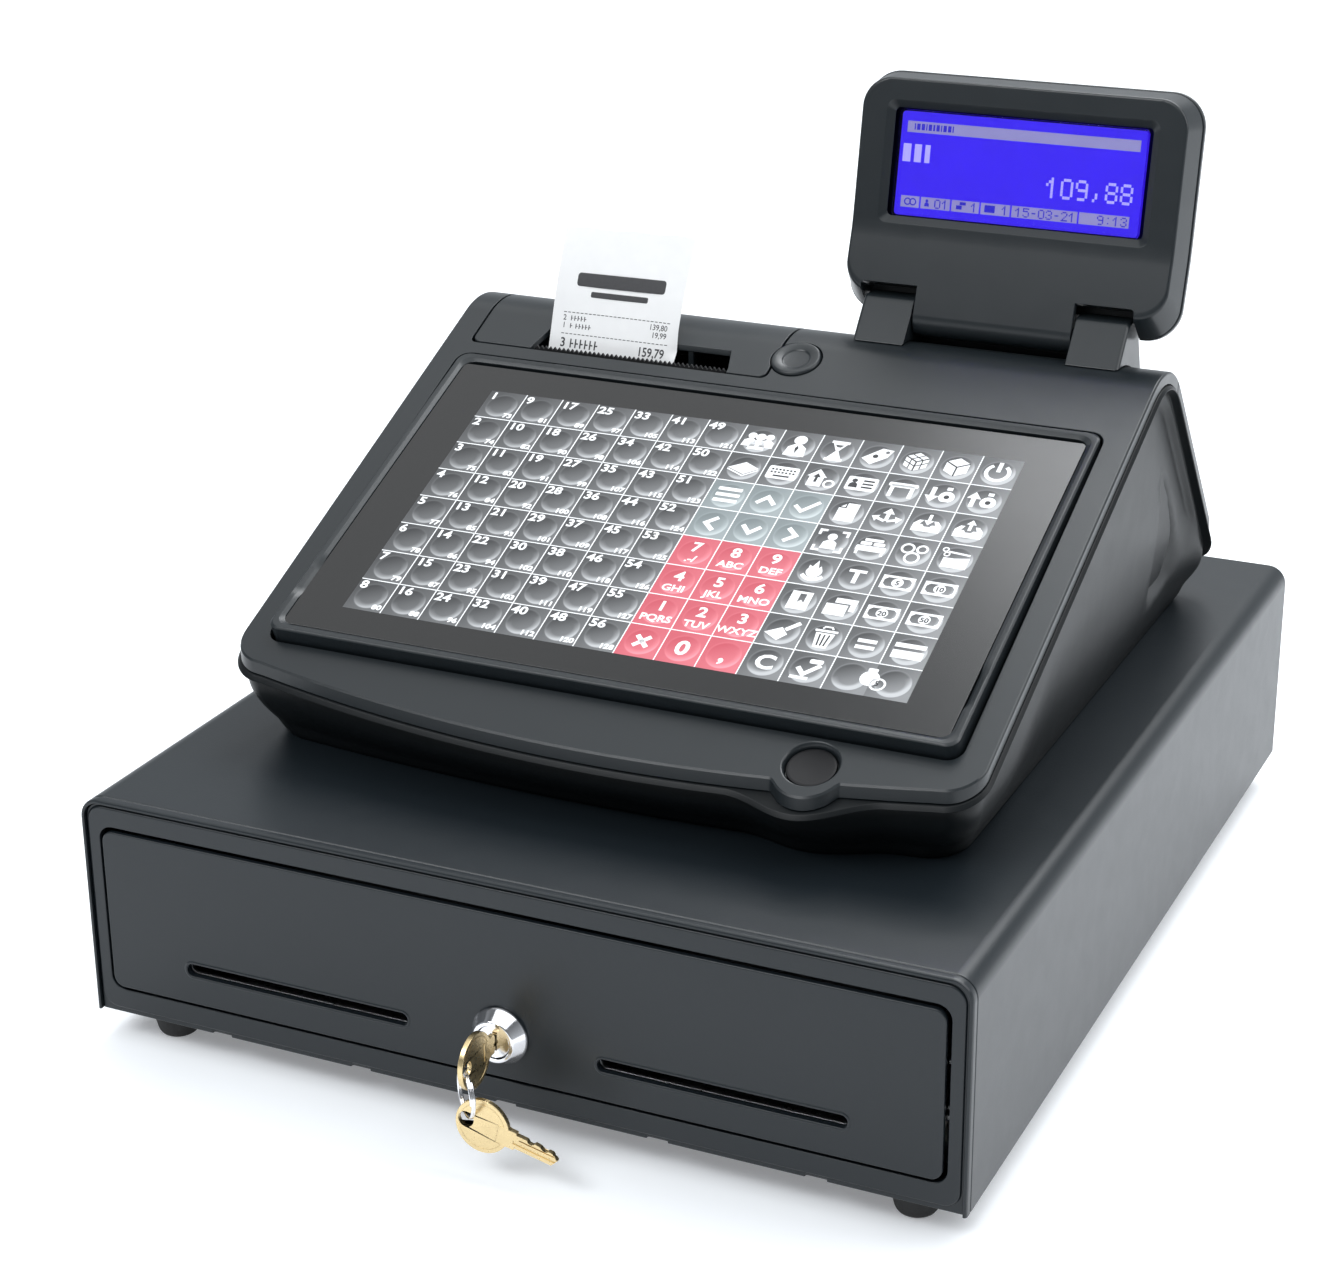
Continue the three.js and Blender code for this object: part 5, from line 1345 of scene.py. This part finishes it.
COLUMNS, ROWS = 14, 8
GRID_LEFT, GRID_FRONT, GRID_BACK = -115.0, 13.2, 148.0
PITCH_X, PITCH_S = -2 * GRID_LEFT / COLUMNS, (GRID_BACK - GRID_FRONT) / ROWS
FILM_TOP, FILM_THICK = 0.05, 0.03
LINE_WIDTH, SIGN_SIZE = 0.44, 18.6
WIDE_KEY = (13.5, 8)
PHONE_KEYS = {(8, 5): ("7", ".-/"), (9, 5): ("8", "ABC"), (10, 5): ("9", "DEF"), (8, 6): ("4", "GHI"),
              (9, 6): ("5", "JKL"), (10, 6): ("6", "MNO"), (8, 7): ("1", "PQRS"), (9, 7): ("2", "TUV"),
              (10, 7): ("3", "WXYZ")}
LARGE_LETTERS = {(9, 8): "0", (10, 8): ",", (11, 8): "C", (12, 5): "T"}
NOTE_VALUES = {(13, 5): "5", (14, 5): "10", (13, 6): "20", (14, 6): "50", WIDE_KEY: "5"}


def cell_centre(column, row):
    return GRID_LEFT + (column - 0.5) * PITCH_X, GRID_BACK - (row - 0.5) * PITCH_S


def key_kind(i, j):
    """Index of the finish of the key in column i and row j from the back left: grey, light or red."""
    if not 7 <= i <= 9 or j < 2:
        return 0
    return 1 if j < 4 else 2


def key_film():
    """The printed sheet: one face per key, with the key's own corner coordinates for its shading."""
    bm = bmesh.new()
    layer = bm.loops.layers.uv.new("cell")
    edges = []
    for height in (FILM_TOP, FILM_TOP - FILM_THICK):
        grid = [[bm.verts.new((GRID_LEFT + i * PITCH_X, GRID_BACK - j * PITCH_S, height))
                 for i in range(COLUMNS + 1)] for j in range(ROWS + 1)]
        for j in range(ROWS):
            for i in range(COLUMNS):
                corners = [grid[j + 1][i], grid[j + 1][i + 1], grid[j][i + 1], grid[j][i]]
                face = bm.faces.new(corners if height == FILM_TOP else corners[::-1])
                face.material_index = key_kind(i, j)
                for loop in face.loops:
                    x, s, _ = loop.vert.co
                    loop[layer].uv = ((x - GRID_LEFT) / PITCH_X, (s - GRID_FRONT) / PITCH_S)
        edge = [grid[0][i] for i in range(COLUMNS)] + [grid[j][-1] for j in range(ROWS)]
        edge += [grid[-1][i] for i in range(COLUMNS, 0, -1)] + [grid[j][0] for j in range(ROWS, 0, -1)]
        edges.append(edge)
    top, bottom = edges
    for k in range(len(top)):
        n = (k + 1) % len(top)
        bm.faces.new((top[k], top[n], bottom[n], bottom[k]))
    bmesh.ops.recalc_face_normals(bm, faces=bm.faces)
    obj = scratch([], [])
    bm.to_mesh(obj.data)
    bm.free()
    kinds = [face.material_index for face in obj.data.polygons]
    show("key_film", obj, SLOPE, "key_grey", "key_sheet")
    obj.data.materials.append(MATERIALS["key_light"])
    obj.data.materials.append(MATERIALS["key_red"])
    obj.data.polygons.foreach_set("material_index", kinds)


def key_lines(ink):
    """White lines between the keys; the last one stops at the wide key."""
    half = LINE_WIDTH / 2
    for i in range(1, COLUMNS):
        x = GRID_LEFT + i * PITCH_X
        low = GRID_FRONT + (PITCH_S if i == COLUMNS - 1 else 0)
        ink.shape(bar(x - half, low, x + half, GRID_BACK))
    for j in range(1, ROWS):
        s = GRID_FRONT + j * PITCH_S
        ink.shape(bar(GRID_LEFT, s - half, -GRID_LEFT, s + half))


def key_marks():
    """Signs, numbers and letters, light with a few dark details over them."""
    white, dark = Ink(), Ink()
    key_lines(white)
    for key, (light_shapes, dark_shapes) in key_signs().items():
        x, s = cell_centre(*key)
        for loops in light_shapes:
            white.shape(loops, x, s, SIGN_SIZE)
        for loops in dark_shapes:
            dark.shape(loops, x, s, SIGN_SIZE, INK_THICK)
    for column in range(1, 8):
        for row in range(1, ROWS + 1):
            number = ROWS * (column - 1) + row
            x, s = cell_centre(column, row)
            white.text(str(number), x - 7.2, s + 3.5, 5.8, "LEFT", 0.17, 1.14)
            white.text(str(number + 72), x + 7.4, s - 6.9, 3.5, "RIGHT", 0.16, 1.15)
    for key, (digit, letters) in PHONE_KEYS.items():
        x, s = cell_centre(*key)
        white.text(digit, x, s + 0.3, 7.2, "CENTER", 0.2, 1.12)
        white.text(letters, x, s - 5.6, 4.8, "CENTER", 0.13, 1.12)
    for key, letter in LARGE_LETTERS.items():
        x, s = cell_centre(*key)
        white.text(letter, x, s - 3.4, 10, "CENTER", 0.32, 1.1)
    for key, value in NOTE_VALUES.items():
        x, s = cell_centre(*key)
        shift = 2.6 if key == WIDE_KEY else 0
        dark.text(value, x + shift, s - 1.3 - shift / 2, 3.4, "CENTER", 0.1, 1.0, INK_THICK)
    on_film = SLOPE @ Matrix.Translation((0, 0, FILM_TOP))
    white.lay("key_marks_light", on_film, "ink_white", "case", "printed_sheet")
    dark.lay("key_marks_dark", on_film, "ink_grey", "case", "printed_sheet")


def key_finish(name, low, high, glow):
    """A printed key: a dome on a plain ground, both shaded from low to high; glow is its bright rim.

    x and y run from the dome's centre, reach is 1 at its edge, lean grows away from the upper left."""
    dome_radius = 0.41
    n = Nodes(name)
    uv = n.tree.nodes.new("ShaderNodeUVMap")
    uv.uv_map = "cell"
    parts = n.node("SeparateXYZ", Vector=uv.outputs[0])

    def add(a, b, clamp=False):
        return n.math("ADD", a, b, clamp=clamp)

    def times(a, b, clamp=False):
        return n.math("MULTIPLY", a, b, clamp=clamp)

    x = n.math("SUBTRACT", n.math("FRACT", parts.outputs[0]), 0.51)
    y = n.math("SUBTRACT", n.math("FRACT", parts.outputs[1]), 0.49)
    reach = n.math("DIVIDE", n.math("SQRT", add(times(x, x), times(y, y))), dome_radius)
    lean = n.math("DIVIDE", add(times(x, 0.45), times(y, -0.89)), dome_radius)
    inside = n.between(reach, 1.0, 0.0, 0.96, 1.03)
    body = n.between(lean, 0.04, 0.34, -0.8, 0.9)
    rim = times(n.between(reach, 0.0, 1.0, 0.6, 0.97), n.between(lean, 0.0, 1.0, -0.25, 0.8))
    edge = times(n.between(reach, 0.0, 0.2, 0.86, 0.99), n.between(lean, 1.0, 0.0, -0.9, 0.5))
    dome = add(add(body, times(rim, glow)), edge, clamp=True)
    ground = n.between(add(x, times(y, -1)), 0.1, 0.3, -0.7, 0.7)
    shade = add(times(dome, inside), times(ground, n.math("SUBTRACT", 1.0, inside)), clamp=True)
    # Painted reflection: the keys get lighter towards the right-hand columns, standing in for the lamp's
    # reflection across the glass.
    across = n.between(parts.outputs[0], 0.8, 1.6, 1.0, COLUMNS)
    color = n.blend(times(shade, across, clamp=True), (*low, 1), (*high, 1))
    n.set(Base_Color=color, Roughness=n.between(n.noise(6), 0.3, 0.34), Specular_IOR_Level=0.3)
    return n.material


# ---------------------------------------------------------------- liquid-crystal display

LCD_LEFT, LCD_RIGHT, LCD_LOW, LCD_HIGH = DISPLAY_X - 51.2, DISPLAY_X + 51.2, 40.2, 82.0
LCD_N = 4.0
LCD_INKS = {"bars": "lcd_grey", "marks": "lcd_dark", "words": "lcd_white"}
DOTS = {"0": (14, 17, 17, 17, 17, 17, 14), "1": (4, 12, 20, 4, 4, 4, 4), "2": (14, 17, 1, 2, 4, 8, 31),
        "3": (14, 17, 1, 6, 1, 17, 14), "5": (31, 16, 30, 1, 1, 17, 14), "8": (14, 17, 17, 14, 17, 17, 14),
        "9": (14, 17, 17, 15, 1, 1, 14), ",": (0, 0, 0, 0, 4, 4, 8), "-": (0, 0, 0, 14, 0, 0, 0),
        ":": (0, 4, 0, 0, 0, 4, 0)}


def dot_text(ink, words, x, u, dot, tall=1.0):
    """Characters of square dots, five across and seven high."""
    for character in words:
        for row, bits in enumerate(DOTS[character]):
            for column in range(5):
                if bits >> (4 - column) & 1:
                    a, b = x + column * dot, u + (6 - row) * dot * tall
                    ink.shape(bar(a, b, a + dot * 0.96, b + dot * tall * 0.96))
        x += 6 * dot


def bar_text(ink, lengths, x, u, height, gap):
    """Stands for words: a row of short bars."""
    for length in lengths:
        ink.shape(bar(x, u, x + length, u + height))
        x += length + gap


def lcd_layer(grow, low, high, corner):
    """A thin layer of the panel, grow wider than it on every side, bent like the display."""
    outline = rect_outline(LCD_LEFT - grow, LCD_RIGHT + grow, LCD_LOW - grow, LCD_HIGH + grow, corner)
    return bend_display(soft_prism("z", outline, low, high, 0.2))


def lcd_screen():
    """The lit panel: a bar along its head, a row of cells along its foot and the price between."""
    show("lcd_plate", lcd_layer(0, LCD_N - 2.6, LCD_N, 1.5), DISPLAY, "lcd", "lcd_panel")
    left, right = LCD_LEFT + 2.6, LCD_RIGHT - 2.6
    foot, head = LCD_LOW + 3.4, LCD_LOW + 33.4
    bars, marks, words = Ink(), Ink(), Ink()
    bars.shape(bar(left, head, right, head + 4.5))
    cells = np.cumsum([left, 8.6, 13.2, 12.4, 13.0, 28.0, 21.2])
    for a, b in zip(cells, cells[1:]):
        bars.shape(bar(a, foot, b - 0.7, foot + 4.6))
    small_letters = (0.5, 1.4, 1.4, 0.5, 1.4, 0.8, 1.4, 0.5, 1.4, 1.4, 0.5)
    bar_text(marks, small_letters, left + 3, head + 1.1, 2.5, 0.55)
    for end, characters in zip(cells[1:], ("", "01", "1", "1", "15-03-21", "9:13")):
        dot_text(marks, characters, end - 1.0 - len(characters) * 3.18, foot + 0.4, 0.53)
    for across in (2.9, 5.2):
        marks.shape(hoop(cells[0] + across, foot + 2.3, 1.5, 0.5))
    for loops in person():
        marks.shape(loops, cells[1] + 2.6, foot + 2.3, 5.2)
    marks.shape(bar(cells[2] + 2, foot + 1, cells[2] + 4.4, foot + 2.6))
    marks.shape(bar(cells[2] + 3.4, foot + 2.8, cells[2] + 6, foot + 4))
    marks.shape(bar(cells[3] + 1.6, foot + 0.9, cells[3] + 6, foot + 3.8))
    bar_text(words, (3.4, 3.0, 2.2), left - 1, foot + 18.2, 7.2, 1.5)
    dot_text(words, "109,88", right - 36.8, foot + 9.0, 1.02, 1.14)
    for name, ink, level in (("bars", bars, 0.02), ("marks", marks, 0.05), ("words", words, 0.02)):
        ink.lay("lcd_" + name, DISPLAY, LCD_INKS[name], "display", "lcd",
                lambda a, b, height, level=level: display_point(a, b, LCD_N + level + height))
    show("lcd_pane", lcd_layer(0.6, LCD_N + 0.5, LCD_N + 1.3, 1.8), DISPLAY, "clear_window", "lcd_window")


# ---------------------------------------------------------------- receipt print

def on_paper(across, up, height):
    """Millimetres across the strip from its middle and up from the print head, onto the paper's face."""
    return paper_point(across / PAPER_HALF, up / PAPER_LONG) + np.array((0, -0.08 - height, 0))


def letter_bars(ink, words, x, up, height, width):
    """Stands for small print: one slim mark for each letter."""
    for letters in words:
        for _ in range(letters):
            ink.shape(bar(x, up, x + width * 0.4, up + height))
            ink.shape(bar(x + width * 0.4, up + height * 0.4, x + width, up + height * 0.55))
            x += width * 1.5
        x += width


def receipt_print():
    """A heading and a line under it, two dashed rules, two items and the total."""
    ink = Ink()
    left, right = -24.0, 24.0
    ink.shape(bar(-20, 33.2, 20, 38.4, 1.2))
    ink.shape(bar(-13, 29.2, 13, 31.4, 0.6))
    for level in (22.6, 14.2):
        for x in np.arange(left, right, 1.9):
            ink.shape(bar(x, level, x + 1.3, level + 0.3))
    for level, count, words, digits in ((19.6, "2", (5,), "139,80"), (16.6, "1", (1, 5), "19,99")):
        ink.text(count, left, level, 3.1, bold=0.02)
        letter_bars(ink, words, left + 3.6, level, 1.9, 1.0)
        ink.text(digits, right, level, 3.1, "RIGHT", 0.02)
    ink.text("3", left, 9.2, 5.0, bold=0.08)
    letter_bars(ink, (6,), left + 4.6, 9.0, 3.5, 1.5)
    ink.text("159,79", right, 9.0, 5.0, "RIGHT", 0.08, 0.9)
    ink.lay("receipt_marks", HOUSING, "ink_black", "printer_cover", "paper", on_paper)


def graphics():
    key_film()
    key_marks()
    lcd_screen()
    receipt_print()


# ---------------------------------------------------------------- works inside

# Width of the rounding on the edges of CAD solids that keep their shape, in the order they are made.
BEVELS = {"drawer_tray": 0.4, "till_insert": 0.5, "coin_tray": 0.5, "clip_rod": 0.3,
          **{f"bill_clip_{number}": 0.25 for number in (1, 2, 3, 4)},
          **{f"roller_{place}": 0.4 for place in ("front_left", "front_right", "rear_left", "rear_right")},
          "rail_left": 0.25, "rail_right": 0.25, "solenoid": 0.5, "solenoid_plunger": 0.25,
          "latch_lever": 0.3, "latch_post": 0.25, "lock_cam": 0.25, "platen_roller": 0.2,
          "idler_gear": 0.12, "motor_pinion": 0.1, "paper_motor": 0.5, "printer_frame": 0.3,
          "paper_roll": 0.25, "main_board": 0.15, "cover_pin": 0.3, "display_pin": 0.3}
FINISH_OF = {"drawer_tray": "steel", "latch_lever": "steel", "platen_roller": "rubber",
             "ejector_spring": "spring"}


def refined(node, width):
    """A copy of a CAD solid with its edges rounded, which stands for it."""
    obj = bpy.data.objects.new("scratch", frame["nodes"][node].data.copy())
    SCRATCH.objects.link(obj)
    obj.data.transform(Matrix.Scale(1 / MM, 4))
    clean(obj, 0.005, 0.6)
    modifier = obj.modifiers.new("soften", "BEVEL")
    modifier.width = width
    modifier.segments = 2
    modifier.limit_method = "ANGLE"
    modifier.angle_limit = math.radians(35)
    apply_modifiers(obj)
    show(node + "_part", obj, Matrix.Scale(MM, 4), FINISH_OF.get(node, SLOT_OF[node]), node)


def middle_and_size(node):
    low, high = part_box(node)
    return (low + high) / 2, high - low


def paper_core():
    """The card tube in the paper roll, just proud of it at each end."""
    middle, size = middle_and_size("paper_roll")
    inner, outer, half = 5.4, 6.6, size.x / 2 / MM + 0.3
    ring = lathe("x", [(inner, -half), (outer, -half), (outer, half), (inner, half)], 48, ring=True)
    place = Matrix.Translation(middle) @ Matrix.Scale(MM, 4)
    show("paper_core", soften(ring, 0.15, 2), place, "card", body="paper_roll")


def board_parts():
    """Chips and connectors on the main board."""
    middle, _ = middle_and_size("main_board")
    chips = [(-70, -40, 18, 18, 1.6), (-30, -45, 24, 10, 2.2), (10, -40, 14, 14, 1.4), (45, -30, 12, 20, 2),
             (-60, 20, 30, 12, 3), (0, 25, 16, 16, 1.6), (50, 20, 10, 26, 4)]
    tilt = SLOPE.to_3x3().normalized().to_4x4()
    place = Matrix.Translation(middle) @ tilt @ Matrix.Scale(MM, 4)
    for index, (x, s, wide, deep, tall) in enumerate(chips):
        outline = rect_outline(x - wide / 2, x + wide / 2, s - deep / 2, s + deep / 2, 0.5, 3)
        chip = soft_prism("z", outline, 0.7, 0.9 + tall, 0.25, 2)
        show(f"board_chip_{index}", chip, place, "black_plastic", body="case")


def works():
    for node, width in BEVELS.items():
        refined(node, width)
    paper_core()
    board_parts()


# ---------------------------------------------------------------- assembly

def dress_cad_nodes():
    """Gives each CAD node that is still shown the material of its slot."""
    for name, obj in frame["nodes"].items():
        material = MATERIALS[FINISH_OF.get(name, SLOT_OF[name])]
        for index in range(len(obj.material_slots)):
            obj.material_slots[index].material = material


make_camera()
make_stage()
MATERIALS = make_materials()
dress_cad_nodes()
register()
cash_drawer()
graphics()
works()

bpy.data.collections.remove(SCRATCH)
